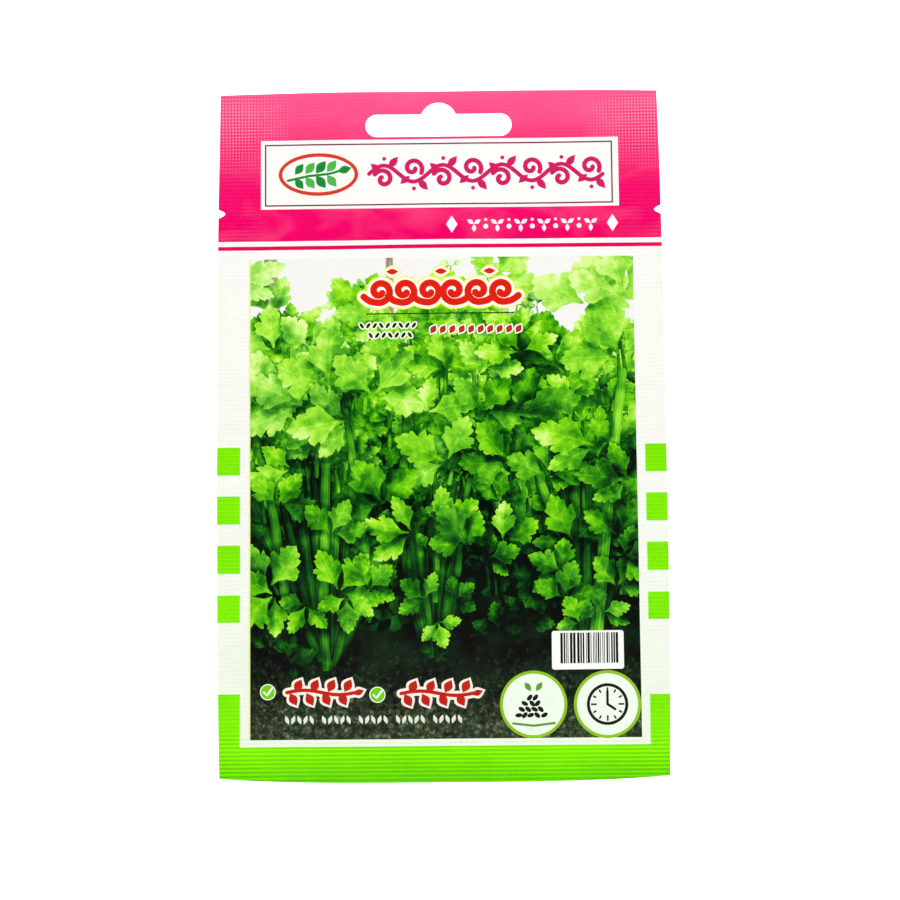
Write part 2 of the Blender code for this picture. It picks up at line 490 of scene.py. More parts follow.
def inner_face(points, loops):
    """A coarser division of the web's hidden face, which keeps the rims' points.

    Returns the points, the triangles and the new number of each rim point.
    """
    rims = sorted(loops, key=lambda loop: -abs(signed_area(points[loop])))
    corners = []
    areas = []
    for loop in rims:
        places = points[loop].tolist()
        areas.append(list(range(len(corners), len(corners) + len(loop))))
        corners.extend(places)
    areas[1:] = [area[::-1] for area in areas[1:]]
    pouch_rows = np.linspace(POUCH_BOTTOM, POUCH_TOP, INNER_ROWS)
    across = np.linspace(-POUCH_HALF, POUCH_HALF, INNER_COLUMNS)
    inside = [(x, up) for x in across for up in (*pouch_rows, *SEAL_ROWS)]
    flat, _, triangles, origins, _, within = delaunay_2d_cdt(
        [Vector(p) for p in corners + inside], [], areas, ALL_TRIANGLES, WELD / 10, True
    )
    kept = np.array([t for t, found in zip(triangles, within) if found == [0]])
    numbered = [number for loop in rims for number in loop]
    renumbered = {}
    for new, olds in enumerate(origins):
        for old in olds:
            if old < len(numbered):
                renumbered[numbered[old]] = new
    return np.array([(p.x, p.y) for p in flat]), kept, renumbered


def face_normals(x, up, side, outer):
    """Unit normals of a web's face, from its slope."""
    step = 0.02
    by_x = (web_face(x + step, up, side, outer) - web_face(x - step, up, side, outer)) / (2 * step)
    by_up = (web_face(x, up + step, side, outer) - web_face(x, up - step, side, outer)) / (2 * step)
    away = side if outer else -side
    normals = np.stack([-by_x * away, np.full_like(by_x, away), -by_up * away], axis=1)
    return normals / np.linalg.norm(normals, axis=1, keepdims=True)


# ---------------------------------------------------------------- shading of the picture


SHADE_REACH = 2.0
SHADE_DEPTH = 0.29
SHADE_SHIFT = (0.35, -0.55)
SHADE_STEP = 0.6
SHADE_NEIGHBOURS = 28


def shade_tree(inks):
    """Every outline point of the shapes that cast a soft shade, with its ink."""
    spots = []
    for number, ink in enumerate(inks):
        if not ink.casts:
            continue
        loop = np.array(ink.loop)
        for a, b in zip(loop, np.roll(loop, -1, axis=0)):
            count = max(1, int(np.linalg.norm(b - a) / SHADE_STEP))
            spots.extend((*(a + (b - a) * i / count), number) for i in range(count))
    tree = KDTree(len(spots))
    for i, (x, up, _) in enumerate(spots):
        tree.insert((x + SHADE_SHIFT[0], up + SHADE_SHIFT[1], 0.0), i)
    tree.balance()
    return tree, [spot[2] for spot in spots]


def corner_values(plate, points, triangles, tops):
    """Each corner's colour or tone, and its place along and across its own leaf or stalk."""
    tree, owners = shade_tree(plate.inks)
    pairs, which = np.unique(
        np.stack([triangles.reshape(-1), np.repeat(tops, 3)], axis=1), axis=0, return_inverse=True
    )
    colours = np.zeros((len(pairs), 4))
    places = np.zeros((len(pairs), 2))
    for row, (point, number) in enumerate(pairs.tolist()):
        ink = plate.inks[number]
        red, green, blue = ink.values
        if ink.local is not None:
            x, up = points[point]
            places[row] = ink.local(x, up)
            shade = 0.0
            for _, spot, distance in tree.find_n((x, up, 0.0), SHADE_NEIGHBOURS):
                if distance > SHADE_REACH:
                    break
                if owners[spot] > number:
                    shade = (1 - distance / SHADE_REACH) ** 1.5
                    break
            red -= SHADE_DEPTH * shade
        colours[row] = (red, green, blue, 1.0)
    which = which.reshape(-1)
    return colours[which], places[which]


# ---------------------------------------------------------------- webs


BAKE_SHARE = WIDTH / HEIGHT
BAKE_GAP = 0.01
RIM_STRIP = 0.02
RIM_STRIP_LOW = 0.7


def bake_place(x, up, outer):
    """Where a point of a web lies on its bake map: the outer face fills the left, the inner one the right."""
    across = (x + HALF + 1) / (HEIGHT + 3)
    along = (up + HEIGHT + 1) / (HEIGHT + 3)
    if outer:
        return np.stack([across, along], axis=1)
    shrink = (1 - BAKE_SHARE - 4 * BAKE_GAP) / BAKE_SHARE
    return np.stack([BAKE_SHARE + 3 * BAKE_GAP + across * shrink, along * shrink], axis=1)


def rim_places(count):
    """Where the cut rims' faces lie on the bake map: side by side in a narrow strip."""
    starts = np.arange(count) / count
    step = 0.9 / count
    low = np.stack([starts, np.zeros(count)], axis=1)
    squares = np.stack([low, low + [step, 0], low + [step, RIM_STRIP], low + [0, RIM_STRIP]], axis=1)
    corner = np.array([BAKE_SHARE + 3 * BAKE_GAP, RIM_STRIP_LOW])
    return squares.reshape(-1, 2) * [1 - BAKE_SHARE - 5 * BAKE_GAP, 1.0] + corner


def rim_faces(loops, renumbered, side):
    """The narrow faces between the two faces' rims, turned to look out of the web."""
    rims = []
    for loop in loops:
        for a, b in zip(loop, loop[1:] + loop[:1]):
            rim = (b, a, renumbered[a], renumbered[b])
            rims.append(rim if side < 0 else rim[::-1])
    return np.array(rims)


def rim_normals(places, rims):
    """One flat normal for each rim face, given to its four corners."""
    corners = places[rims]
    across = np.cross(corners[:, 1] - corners[:, 0], corners[:, 2] - corners[:, 0])
    across /= np.maximum(np.linalg.norm(across, axis=1, keepdims=True), 1e-12)
    return np.repeat(across, 4, axis=0)


def add_web(name, side, plate, slots, rng):
    """One web as a closed shell: the printed outer face, the plain inner face and the cut rims between."""
    points, triangles, tops = divide(plate, rng)
    used = np.unique(triangles)
    fresh = np.full(len(points), -1)
    fresh[used] = np.arange(len(used))
    points, triangles = points[used], fresh[triangles]
    count = len(points)
    loops = boundary_loops(triangles)
    hidden, back, renumbered = inner_face(points, loops)
    colours, places = corner_values(plate, points, triangles, tops)

    # The flat triangles run anticlockwise as seen from the front, so those that face +Y are turned round.
    front = triangles if side < 0 else triangles[:, ::-1]
    back = (back[:, ::-1] if side < 0 else back) + count
    rims = rim_faces(loops, {old: new + count for old, new in renumbered.items()}, side)
    faces = [*front.tolist(), *back.tolist(), *rims.tolist()]
    x, up = np.concatenate([points, hidden]).T
    y = np.concatenate([web_face(*points.T, side, True), web_face(*hidden.T, side, False)])
    shell = np.stack([x, y, up], axis=1)
    mesh = bpy.data.meshes.new(name)
    mesh.from_pydata(shell * MM + [0, 0, TOP], [], faces)

    for material in slots.values():
        mesh.materials.append(material)
    order = list(slots)
    painted = np.array([order.index(ink.material) for ink in plate.inks])
    plain = [order.index("film_inner")] * len(back) + [order.index("film_rim")] * len(rims)
    index = np.concatenate([painted[tops], plain])
    mesh.polygons.foreach_set("material_index", index.astype(np.int32))
    mesh.polygons.foreach_set("use_smooth", np.ones(len(faces), bool))

    if side > 0:
        turned = np.arange(front.size).reshape(-1, 3)[:, ::-1].reshape(-1)
        colours, places = colours[turned], places[turned]
    unpainted = back.size + rims.size
    colours = np.concatenate([colours, np.ones((unpainted, 4))])
    places = np.concatenate([places, np.zeros((unpainted, 2))])
    attribute = mesh.attributes.new("ink", "FLOAT_COLOR", "CORNER")
    attribute.data.foreach_set("color", colours.astype(np.float32).reshape(-1))
    mesh.uv_layers.new(name="leaf").uv.foreach_set("vector", places.astype(np.float32).reshape(-1))

    corners = np.concatenate([front.reshape(-1), back.reshape(-1), rims.reshape(-1)])
    bake = np.concatenate([bake_place(*points.T, True), bake_place(*hidden.T, False)])[corners]
    bake[-rims.size :] = rim_places(len(rims))
    bake_layer = mesh.uv_layers.new(name="OFBake")
    bake_layer.uv.foreach_set("vector", bake.astype(np.float32).reshape(-1))
    mesh.uv_layers.active = bake_layer

    normals = np.concatenate([face_normals(*points.T, side, True), face_normals(*hidden.T, side, False)])
    normals = normals[corners]
    normals[-rims.size :] = rim_normals(shell, rims)
    mesh.update()
    mesh.normals_split_custom_set(normals.tolist())
    return in_scene(name, mesh)


def in_scene(name, data):
    """A new object of the scene."""
    obj = bpy.data.objects.new(name, data)
    bpy.context.scene.collection.objects.link(obj)
    return obj


# ---------------------------------------------------------------- leaves and stalks


LEAFLET = (
    (0.00, 0.016),
    (0.16, 0.060),
    (0.30, 0.200),
    (0.37, 0.330),
    (0.45, 0.370),
    (0.49, 0.335),
    (0.56, 0.380),
    (0.64, 0.340),
    (0.65, 0.270),
    (0.60, 0.200),
    (0.68, 0.235),
    (0.77, 0.265),
    (0.82, 0.235),
    (0.82, 0.185),
    (0.90, 0.175),
    (0.94, 0.130),
    (0.93, 0.095),
    (0.99, 0.055),
)


def leaflet(plate, foot, angle, length, breadth, bend, values, rng, wobble=0.12):
    """One toothed, three-lobed leaflet from its foot, pointing at an angle in degrees."""
    turn = math.radians(angle)
    ahead = np.array([math.cos(turn), math.sin(turn)])
    beside = np.array([-ahead[1], ahead[0]])
    foot = np.array(foot, float)
    halves = []
    for side in (-1, 1):
        half = []
        reach = rng.uniform(0.85, 1.12)
        for s, t in LEAFLET:
            s += rng.uniform(-0.018, 0.018) * (s > 0.2)
            t *= side * breadth * reach * rng.uniform(1 - wobble, 1 + wobble)
            half.append((s, t))
        halves.append(half)
    shape = halves[0] + [(1.03, 0.0)] + halves[1][::-1]
    loop = [tuple(foot + length * (s * ahead + (t + bend * s * s) * beside)) for s, t in shape]

    def local(x, up):
        offset = np.array([x, up]) - foot
        s = float(offset @ ahead) / length
        return s, float(offset @ beside) / length - bend * s * s

    plate.ink(loop, "leaf", values, local, casts=True)


def stalk(plate, path, width, end_width, values):
    """A ribbed stalk along a smooth path, shaded across its width."""
    line = np.array(smooth(path, 5))
    gaps = np.diff(line, axis=0)
    lengths = np.linalg.norm(gaps, axis=1)
    before = np.concatenate([[0], np.cumsum(lengths)])
    halves = np.linspace(width, end_width, len(line)) / 2

    def local(x, up):
        offset = np.array([x, up]) - line[:-1]
        share = np.clip(np.einsum("ij,ij->i", offset, gaps) / lengths**2, 0, 1)
        off = offset - gaps * share[:, None]
        i = int(np.argmin(np.einsum("ij,ij->i", off, off)))
        side = gaps[i, 0] * off[i, 1] - gaps[i, 1] * off[i, 0]
        reach = halves[i] + (halves[i + 1] - halves[i]) * share[i]
        return (before[i] + share[i] * lengths[i]) / 10, side / lengths[i] / reach

    plate.ink(ribbon(line, width, end_width), "stalk", values, local, casts=True)


def compound_leaf(plate, x, up, angle, size, tone, rng, pale=0.0, leaflets=3, flat=1.0, petiole=None):
    """A celery leaf: a petiole and a fan of leaflets. flat below 1 shows it tilted away."""
    centre = np.array([x, up])
    if petiole:
        middle = ((x + petiole[0]) / 2, (up + petiole[1]) / 2 + 0.4)
        stalk(plate, [petiole, middle, (x, up)], 0.9, 0.5, (tone - 0.12, pale, rng.random()))
    spread = 38 if leaflets == 5 else 64
    turns = [(i - (leaflets - 1) / 2) * spread for i in range(leaflets)]
    turns.sort(key=lambda t: -abs(t))
    for turn in turns:
        outer = abs(turn) > 1
        reach = size * (0.86 if outer else 1.0) * rng.uniform(0.88, 1.1)
        way = math.radians(angle + turn + rng.uniform(-9, 9))
        way = math.atan2(math.sin(way) * flat, math.cos(way))
        squeeze = math.hypot(math.cos(way), math.sin(way) * flat)
        foot = centre + 0.06 * size * np.array([math.cos(way), math.sin(way)])
        shown = tone + rng.uniform(-0.09, 0.09)
        leaflet(
            plate,
            foot,
            math.degrees(way),
            reach * (0.55 + 0.45 * squeeze),
            rng.uniform(0.85, 1.15) * (0.55 + 0.45 * flat),
            rng.uniform(-0.12, 0.12),
            (shown, min(1, max(0, pale + rng.uniform(-0.12, 0.12))), rng.random()),
            rng,
        )


def canopy_top(x):
    """How high the mass of leaves reaches against the sky."""
    waves = 2.6 * math.sin(x / 7.0 + 1.0) + 1.6 * math.sin(x / 2.9)
    return -50.5 + waves + 2.5 * math.exp(-(((x - 8) / 9) ** 2))


def light_at(up):
    """How much light reaches into the plants at a height: 1 at the canopy's top and 0 at the soil."""
    return min(1.0, max(0.0, (up + 106.0) / 48.0))


# Each plant: the x of its foot, the height of its foot and the number of its stalks.
BUNCHES = ((-23.0, -116.3, 13), (-1.6, -114.8, 8), (28.5, -113.0, 10), (11.0, -102.5, 6))


def paint_backdrop(plate, rng):
    """A blurred hedge of leaves, the soil and two stakes, over the sky."""
    left, right, top, bottom = PICTURE
    xs = np.arange(left - 1, right + 1, 0.8)
    hedge = [(x, canopy_top(x) + rng.uniform(-1.8, 1.4)) for x in xs]
    plate.ink([(right + 1, -112.0), *hedge[::-1], (left - 1, -112.0)], "far_foliage")
    ground = [(x, -107.5 + 1.6 * math.sin(x / 6.3) + rng.uniform(-0.5, 0.5)) for x in xs]
    plate.ink([(right + 1, bottom - 1), *ground[::-1], (left - 1, bottom - 1)], "soil")
    plate.ink([(-33.6, -58.0), (-31.4, -58.0), (-33.0, top + 1), (-35.7, top + 1)], "stake")
    plate.ink([(-10.3, -56.0), (-9.0, -56.0), (-9.5, top + 1), (-11.0, top + 1)], "stake")


def paint_far_leaves(plate, rng):
    """Small leaves and thin stems deep among the plants."""
    left, right, _, _ = PICTURE
    for _ in range(70):
        x = rng.uniform(left, right)
        up = rng.uniform(-94, canopy_top(x) + 2)
        lit = light_at(up)
        thin = [(x, up), (x + rng.uniform(-2, 2), up - 7), (x + rng.uniform(-3, 3), up - 14)]
        stalk(plate, thin, 0.5, 0.8, (0.18 + 0.42 * lit + rng.uniform(-0.1, 0.1), 0.1, rng.random()))
    for i in range(58):
        tall = i % 4 == 0
        x = rng.uniform(-21, -12) if tall else rng.uniform(-26, 24)
        up = canopy_top(x) + (rng.uniform(4.0, 14.0) if tall else rng.triangular(0.0, 12.0, 1.0))
        thin = [(x, up), (x + rng.uniform(-1, 1), up - 4), (x + rng.uniform(-2, 2), up - 9)]
        stalk(plate, thin, 0.25, 0.4, (0.80, 0.5, rng.random()))
        angle, size, tone = rng.uniform(20, 160), rng.uniform(2.0, 4.4), rng.uniform(0.84, 1.02)
        pale = rng.uniform(0.5, 1.0)
        compound_leaf(plate, x, up, angle, size, tone, rng, pale=pale, flat=rng.uniform(0.3, 0.9))
    for _ in range(60):
        x = rng.uniform(left - 1, right + 1)
        up = canopy_top(x) + rng.uniform(-3.0, 1.6)
        angle, size, tone = rng.uniform(0, 180), rng.uniform(2.6, 4.6), rng.uniform(0.56, 0.84)
        pale = rng.uniform(0, 0.4)
        compound_leaf(plate, x, up, angle, size, tone, rng, pale=pale, flat=rng.uniform(0.5, 1.0))
    for _ in range(120):
        x = rng.uniform(left - 1, right + 1)
        up = rng.uniform(-101, canopy_top(x) + 1.5)
        tone = 0.04 + 0.64 * light_at(up) ** 1.2 + rng.uniform(-0.16, 0.12)
        angle, size = rng.uniform(20, 160), rng.uniform(3.0, 4.6)
        pale = rng.uniform(0, 0.35) * light_at(up)
        compound_leaf(plate, x, up, angle, size, tone, rng, pale=pale, flat=rng.uniform(0.5, 1.0))


def paint_bunches(plate, rng):
    """The ribbed stalks of each plant, spreading from its foot."""
    for x, foot, count in BUNCHES[::-1]:
        grown = count > 6
        spread = 1.05 * count if grown else 6.5
        order = list(range(count))
        rng.shuffle(order)
        for i in order:
            lean = (i / (count - 1) - 0.5) * 2
            height = rng.uniform(26, 44) if grown else rng.uniform(14, 22)
            low = (x + lean * 1.9, foot + abs(lean) * 2.2)
            middle = (x + lean * spread * 0.54 + rng.uniform(-0.6, 0.6), foot + height * 0.42)
            high = (x + lean * spread + rng.uniform(-1.5, 1.5), foot + height)
            wide = rng.uniform(1.8, 2.8) if grown else rng.uniform(0.6, 1.1)
            tone = 0.24 + 0.10 * (1 - abs(lean)) + rng.uniform(-0.06, 0.09) - (0.0 if grown else 0.10)
            stalk(plate, [low, middle, high], wide * 0.85, wide, (tone, 0.12, rng.random()))


def paint_middle_leaves(plate, rng):
    """The full mass of leaves, brighter towards the top."""
    left, right, _, _ = PICTURE
    spots = []
    for x in np.arange(left, right + 1, 5.6):
        for up in np.arange(-93, -50, 4.7):
            spots.append((x + rng.uniform(-2.8, 2.8), up + rng.uniform(-2.5, 2.5)))
    rng.shuffle(spots)
    for x, up in spots:
        deep = up < -84
        if deep and rng.random() < 0.55:
            continue
        tone = 0.22 + 0.52 * light_at(up) + rng.uniform(-0.13, 0.13) - 0.03 * (x > 8)
        pale = max(0.0, 0.35 * light_at(up) - 0.3) + (0.3 if rng.random() < 0.12 else 0.0)
        angle, size = rng.uniform(15, 165), rng.uniform(4.6, 9.0)
        leaflets, flat = rng.choice((3, 3, 5)), rng.uniform(0.35, 1.0)
        petiole = (x + rng.uniform(-1.5, 1.5), up - rng.uniform(5, 9))
        compound_leaf(plate, x, up, angle, size, tone, rng, pale, leaflets, flat, petiole)


def paint_large_leaves(plate, rng):
    """The nearest stalks and leaves.

    A stalk is (path, width, end width, tone), and a leaf (x, up, direction, size, tone, paleness, tilt).
    """
    stems = (
        ([(-31.0, -104), (-34.0, -84), (-38.0, -68)], 2.0, 1.6, 0.40),
        ([(-23.6, -104), (-23.2, -84), (-23.0, -66)], 2.1, 1.7, 0.47),
        ([(-15.0, -96), (-17.0, -80), (-19.0, -66)], 2.0, 1.4, 0.46),
        ([(-9.5, -88), (-7.5, -76), (-7.0, -64)], 2.0, 1.3, 0.44),
        ([(30.0, -112), (33.0, -84), (36.5, -58)], 2.8, 1.8, 0.55),
        ([(24.0, -104), (21.0, -84), (14.0, -68)], 2.0, 1.4, 0.40),
        ([(3.0, -98), (4.5, -84), (8.5, -70)], 1.4, 1.0, 0.40),
        ([(-1.5, -103), (-1.0, -84), (-3.0, -70)], 1.5, 1.0, 0.38),
    )
    for path, wide, narrow, tone in stems:
        stalk(plate, path, wide, narrow, (tone, 0.15, rng.random()))
    leaves = (
        (-41.0, -39.5, 35, 9.5, 0.92, 0.60, 0.7),
        (-15.0, -46.5, 135, 9.5, 0.68, 0.00, 0.9),
        (-33.5, -53.0, 100, 9.5, 0.80, 0.25, 1.0),
        (-26.5, -52.5, 55, 8.5, 0.84, 0.35, 0.9),
        (-8.5, -51.5, 130, 9.0, 0.76, 0.15, 0.8),
        (-12.0, -46.5, 165, 8.0, 0.76, 0.15, 0.8),
        (3.5, -46.0, 100, 9.5, 0.76, 0.05, 0.9),
        (11.0, -38.6, 50, 9.5, 0.84, 0.15, 0.9),
        (29.5, -44.5, 80, 13.0, 0.92, 0.30, 1.0),
        (36.0, -55.0, 110, 12.0, 0.74, 0.10, 1.0),
        (23.0, -56.5, 150, 14.0, 0.50, 0.00, 0.5),
        (-37.5, -64.0, 85, 11.5, 0.72, 0.40, 0.9),
        (-28.0, -64.0, 150, 13.0, 0.72, 0.40, 0.7),
        (-22.5, -60.5, 95, 12.5, 0.68, 0.25, 0.9),
        (-13.5, -62.5, 60, 12.5, 0.68, 0.25, 0.8),
        (-18.5, -67.5, 185, 12.0, 0.64, 0.20, 0.6),
        (-30.0, -77.0, 200, 9.5, 0.56, 0.05, 0.7),
        (-3.0, -66.0, 25, 9.5, 0.72, 0.15, 0.7),
        (1.0, -76.0, 140, 11.0, 0.72, 0.08, 0.7),
        (8.0, -66.0, 60, 10.0, 0.66, 0.08, 0.8),
        (15.0, -66.5, 20, 13.0, 0.44, 0.00, 0.6),
        (13.5, -76.0, 120, 11.0, 0.50, 0.00, 0.7),
        (21.0, -79.0, 80, 10.0, 0.50, 0.00, 0.9),
        (31.0, -73.0, 150, 12.0, 0.54, 0.00, 0.5),
        (37.0, -42.0, 110, 13.0, 0.92, 0.30, 0.9),
        (1.0, -57.5, 100, 9.0, 0.72, 0.05, 0.9),
        (-2.5, -48.0, 60, 8.0, 0.70, 0.05, 0.8),
        (9.0, -57.0, 70, 8.5, 0.70, 0.15, 0.8),
        (16.0, -54.0, 110, 9.5, 0.70, 0.05, 0.6),
        (37.5, -80.0, 165, 10.0, 0.52, 0.00, 0.5),
        (-12.0, -84.0, 120, 9.5, 0.52, 0.00, 0.9),
        (-6.0, -90.0, 170, 10.0, 0.62, 0.10, 0.7),
        (0.5, -88.5, 30, 8.5, 0.62, 0.00, 0.8),
        (-33.0, -84.0, 60, 8.5, 0.50, 0.05, 0.8),
        (12.0, -92.0, 95, 8.5, 0.52, 0.05, 0.8),
        (-22.0, -90.0, 70, 8.0, 0.54, 0.05, 0.8),
        (26.0, -92.0, 110, 9.5, 0.42, 0.00, 0.8),
        (35.0, -91.0, 60, 9.5, 0.43, 0.00, 0.7),
    )
    compound_leaf(plate, -34.4, -46.0, 92, 10.0, 0.78, rng, pale=0.3, leaflets=2)
    for x, up, angle, size, tone, pale, flat in leaves:
        compound_leaf(plate, x, up, angle, size, tone, rng, pale=pale, flat=flat)


def paint_low_leaves(plate, rng):
    """The weeds on the soil, one broad dark leaf, and the bright young leaves over the feet of the plants."""
    weeds = (
        (-34.5, -112.5, 80),
        (-37.5, -109.0, 150),
        (-31.0, -115.0, 20),
        (11.0, -109.5, 95),
        (16.5, -107.5, 60),
    )
    for x, up, angle in weeds:
        compound_leaf(plate, x, up, angle, rng.uniform(4.5, 7.0), 0.24, rng, flat=0.8)
    leaflet(plate, (21.5, -96.5), 232, 9.5, 1.5, 0.1, (0.22, 0.0, 0.5), rng)
    leaves = (
        (-34.5, -100.5, 115, 10.0, 0.62, 0.02, 0.9),
        (-33.5, -102.0, 215, 8.5, 0.66, 0.04, 0.9),
        (-20.5, -101.5, 50, 10.0, 0.55, 0.00, 0.9),
        (-19.0, -102.5, 265, 6.5, 0.56, 0.00, 0.9),
        (-14.5, -101.0, 40, 6.5, 0.46, 0.00, 1.0),
        (-27.0, -104.0, 240, 6.5, 0.54, 0.00, 0.9),
        (-3.5, -103.0, 140, 6.0, 0.54, 0.02, 1.0),
        (-1.0, -107.5, 290, 5.0, 0.68, 0.10, 0.9),
        (2.5, -103.0, 40, 4.5, 0.42, 0.00, 1.0),
        (4.5, -92.0, 130, 7.5, 0.50, 0.05, 1.0),
        (9.0, -95.0, 20, 6.0, 0.46, 0.00, 0.8),
        (24.0, -98.0, 150, 8.0, 0.50, 0.02, 0.9),
        (24.0, -103.0, 80, 7.0, 0.52, 0.03, 0.9),
        (27.0, -108.0, 120, 5.5, 0.60, 0.10, 1.0),
        (31.5, -106.0, 30, 6.0, 0.46, 0.10, 0.8),
        (34.5, -101.0, 60, 7.5, 0.50, 0.02, 1.0),
        (36.0, -95.0, 10, 7.0, 0.50, 0.00, 0.9),
    )
    for x, up, angle, size, tone, pale, flat in leaves:
        compound_leaf(plate, x, up, angle, size, tone, rng, pale=pale, flat=flat)


# ---------------------------------------------------------------- generic marks


def beyond(x, up, radius, degrees):
    """The point at a distance from another, in a direction."""
    angle = math.radians(degrees)
    return x + radius * math.cos(angle), up + radius * math.sin(angle)


def running_scroll(left, right, up, height, count):
    """Curling waves side by side, mirrored about the middle, as a list of paths."""
    pitch = (right - left) / count
    radius = min(height * 0.42, pitch / 2)
    paths = []
    for i in range(count):
        x = left + pitch * (i + 0.5)
        facing = 1 if i < count / 2 else -1
        curl = spiral(x, up + radius * 0.05, radius, radius * 0.25, 270 - facing * 20, facing * 1.2, 24)
        start = (x - facing * pitch * 0.66, up - height * 0.14)
        dip = (x - facing * pitch * 0.42, up - height * 0.27)
        paths.append(smooth([start, dip, curl[0]], 5)[:-1] + curl)
    return paths


def leaf_mark(x, up, length, breadth, turn, count=9):
    """A plain pointed leaf shape about its middle."""
    cos, sin = math.cos(math.radians(turn)), math.sin(math.radians(turn))
    side = [(s - 0.5, math.sin(math.pi * s) ** 1.2 / 2) for s in np.linspace(0, 1, count)]
    lower = [(a * length, -b * breadth) for a, b in side]
    upper = [(a * length, b * breadth) for a, b in side[-2:0:-1]]
    return [(x + a * cos - b * sin, up + a * sin + b * cos) for a, b in lower + upper]


def sprig(left, right, up, height, pairs):
    """A waving stem with pairs of leaves and one at its tip: the stem's path, and what leaf_mark takes."""
    stem = [
        (x, up + 0.10 * height * math.sin((x - left) / (right - left) * 2 * math.pi))
        for x in np.linspace(left, right, 13)
    ]
    leaves = []
    for i in range(pairs):
        x = left + (right - left) * (i + 0.55) / (pairs + 0.2)
        for side in (-1, 1):
            spot = x + 0.10 * height - (side < 0) * 0.22 * height
            leaves.append((spot, up + side * height * 0.29, height * 0.62, height * 0.38, side * 62))
    leaves.append((right + height * 0.10, up, height * 0.5, height * 0.26, 20))
    return stem, leaves


def framed_sprig(plate, left, right, up, height, pairs, colours, width):
    """A sprig laid once in each colour, from (how far past the sprig it reaches, colour)."""
    stem, leaves = sprig(left, right, up, height, pairs)
    for extra, colour in colours:
        plate.stroke(stem, width + extra, colour)
        for x, y, length, breadth, turn in leaves:
            plate.ink(leaf_mark(x, y, length + extra, breadth + extra, turn), values=colour)


def seed_row(plate, left, right, up, size, colours):
    """A line of small slanted seeds, laid once in each colour like a framed sprig."""
    for extra, colour in colours:
        for i, x in enumerate(np.arange(left + size / 2, right, size * 1.05)):
            across, high = size * 0.52 + extra / 2, size * 0.24 + extra / 2
            plate.ink(ellipse(x, up, across, high, 55 if i % 3 else 125, 14), values=colour)


# ---------------------------------------------------------------- the print


SPRIG_GREEN = "#3d8f2c"
SIGN_GREEN = "#5d9c28"
DEEP_GREEN = "#1c8a35"
MID_GREEN = "#4fb548"
BADGE_WHITE = "#eef8e8"
DIAL_BLACK = "#15180f"
LINE_GREEN = "#a9c08e"
TITLE_LEFT, TITLE_RIGHT, TITLE_UP, TITLE_HEIGHT = -14.6, 15.0, -41.4, 6.8
BADGES = ((17.7, -123.9), (32.3, -124.0))
BADGE_RADIUS = 6.65
BADGE_RING = 0.6
TICKS = ((-34.8, -121.1), (-13.05, -121.7))
CALENDAR_LEFT, CALENDAR_TOP = -33.5, -40.0
CALENDAR_BOX = (10.2, 9.2)
CALENDAR_GAP = 1.0
SOWING_MONTHS = (1, 2, 3, 8, 9)
SIGN_SPACING = 22.0
SIGN_UP = -101.0
SIGN_RADIUS = 8.6


def print_ground(plate):
    """The packet's own fields: white film, pink header, stripe, lime squares and footer."""
    edge = HALF + 1
    plate.ink(packet_outline(), "white_ink")
    plate.ink(slot_outline(), "white_ink")
    plate.ink(rectangle(-edge, edge, 1.0, HEADER_END), "pink_ink")
    plate.ink(rectangle(-edge, edge, *STRIPE), values="#e2045c")
    for top, bottom in SQUARES:
        plate.ink(rectangle(-edge, LEFT_MARGIN, top, bottom), "lime_ink")
        plate.ink(rectangle(RIGHT_MARGIN, edge, top, bottom), "lime_ink")
    plate.ink(rectangle(-edge, edge, FOOTER_TOP, -HEIGHT - 1), "lime_ink")
    plate.ink(rectangle(-edge, LEFT_MARGIN, LEFT_FOOT_TOP, FOOTER_TOP - 1), "lime_ink")
    plate.ink(rectangle(RIGHT_MARGIN, edge, RIGHT_FOOT_TOP, FOOTER_TOP - 1), "lime_ink")


def print_header_panel(plate):
    """The white panel with its thin frame."""
    left, right, top, bottom = HEADER_FRAME
    inside = (left + FRAME_LINE, right - FRAME_LINE, top - FRAME_LINE, bottom + FRAME_LINE)
    plate.ink(rectangle(*HEADER_PANEL), "white_ink")
    plate.ink(rectangle(*HEADER_FRAME), values="#7a2440")
    plate.ink(rectangle(*inside), "white_ink")


def print_emblem(plate, x, up):
    """A plain garden sign: a sprig of leaves in a red oval ring."""
    plate.ink(ellipse(x, up, 8.1, 4.4, 0, 56), values="#d63a26")
    plate.ink(ellipse(x, up, 7.35, 3.65, 0, 56), "white_ink")
    stem = [(x - 6.2, up - 1.2), (x - 2.0, up - 0.3), (x + 2.2, up + 0.1), (x + 5.0, up + 0.9)]
    plate.stroke(stem, 0.5, DEEP_GREEN)
    for i, along in enumerate((-4.6, -2.4, -0.2, 2.0)):
        for side in (-1, 1):
            size = 3.3 - 0.1 * abs(along)
            shape = leaf_mark(x + along + 0.7, up + side * 1.5 + along * 0.08, size, size * 0.57, side * 52)
            plate.ink(shape, values=DEEP_GREEN if (i + side) % 2 else MID_GREEN)
    plate.ink(leaf_mark(x + 5.3, up + 0.95, 3.0, 1.6, 15), values=DEEP_GREEN)


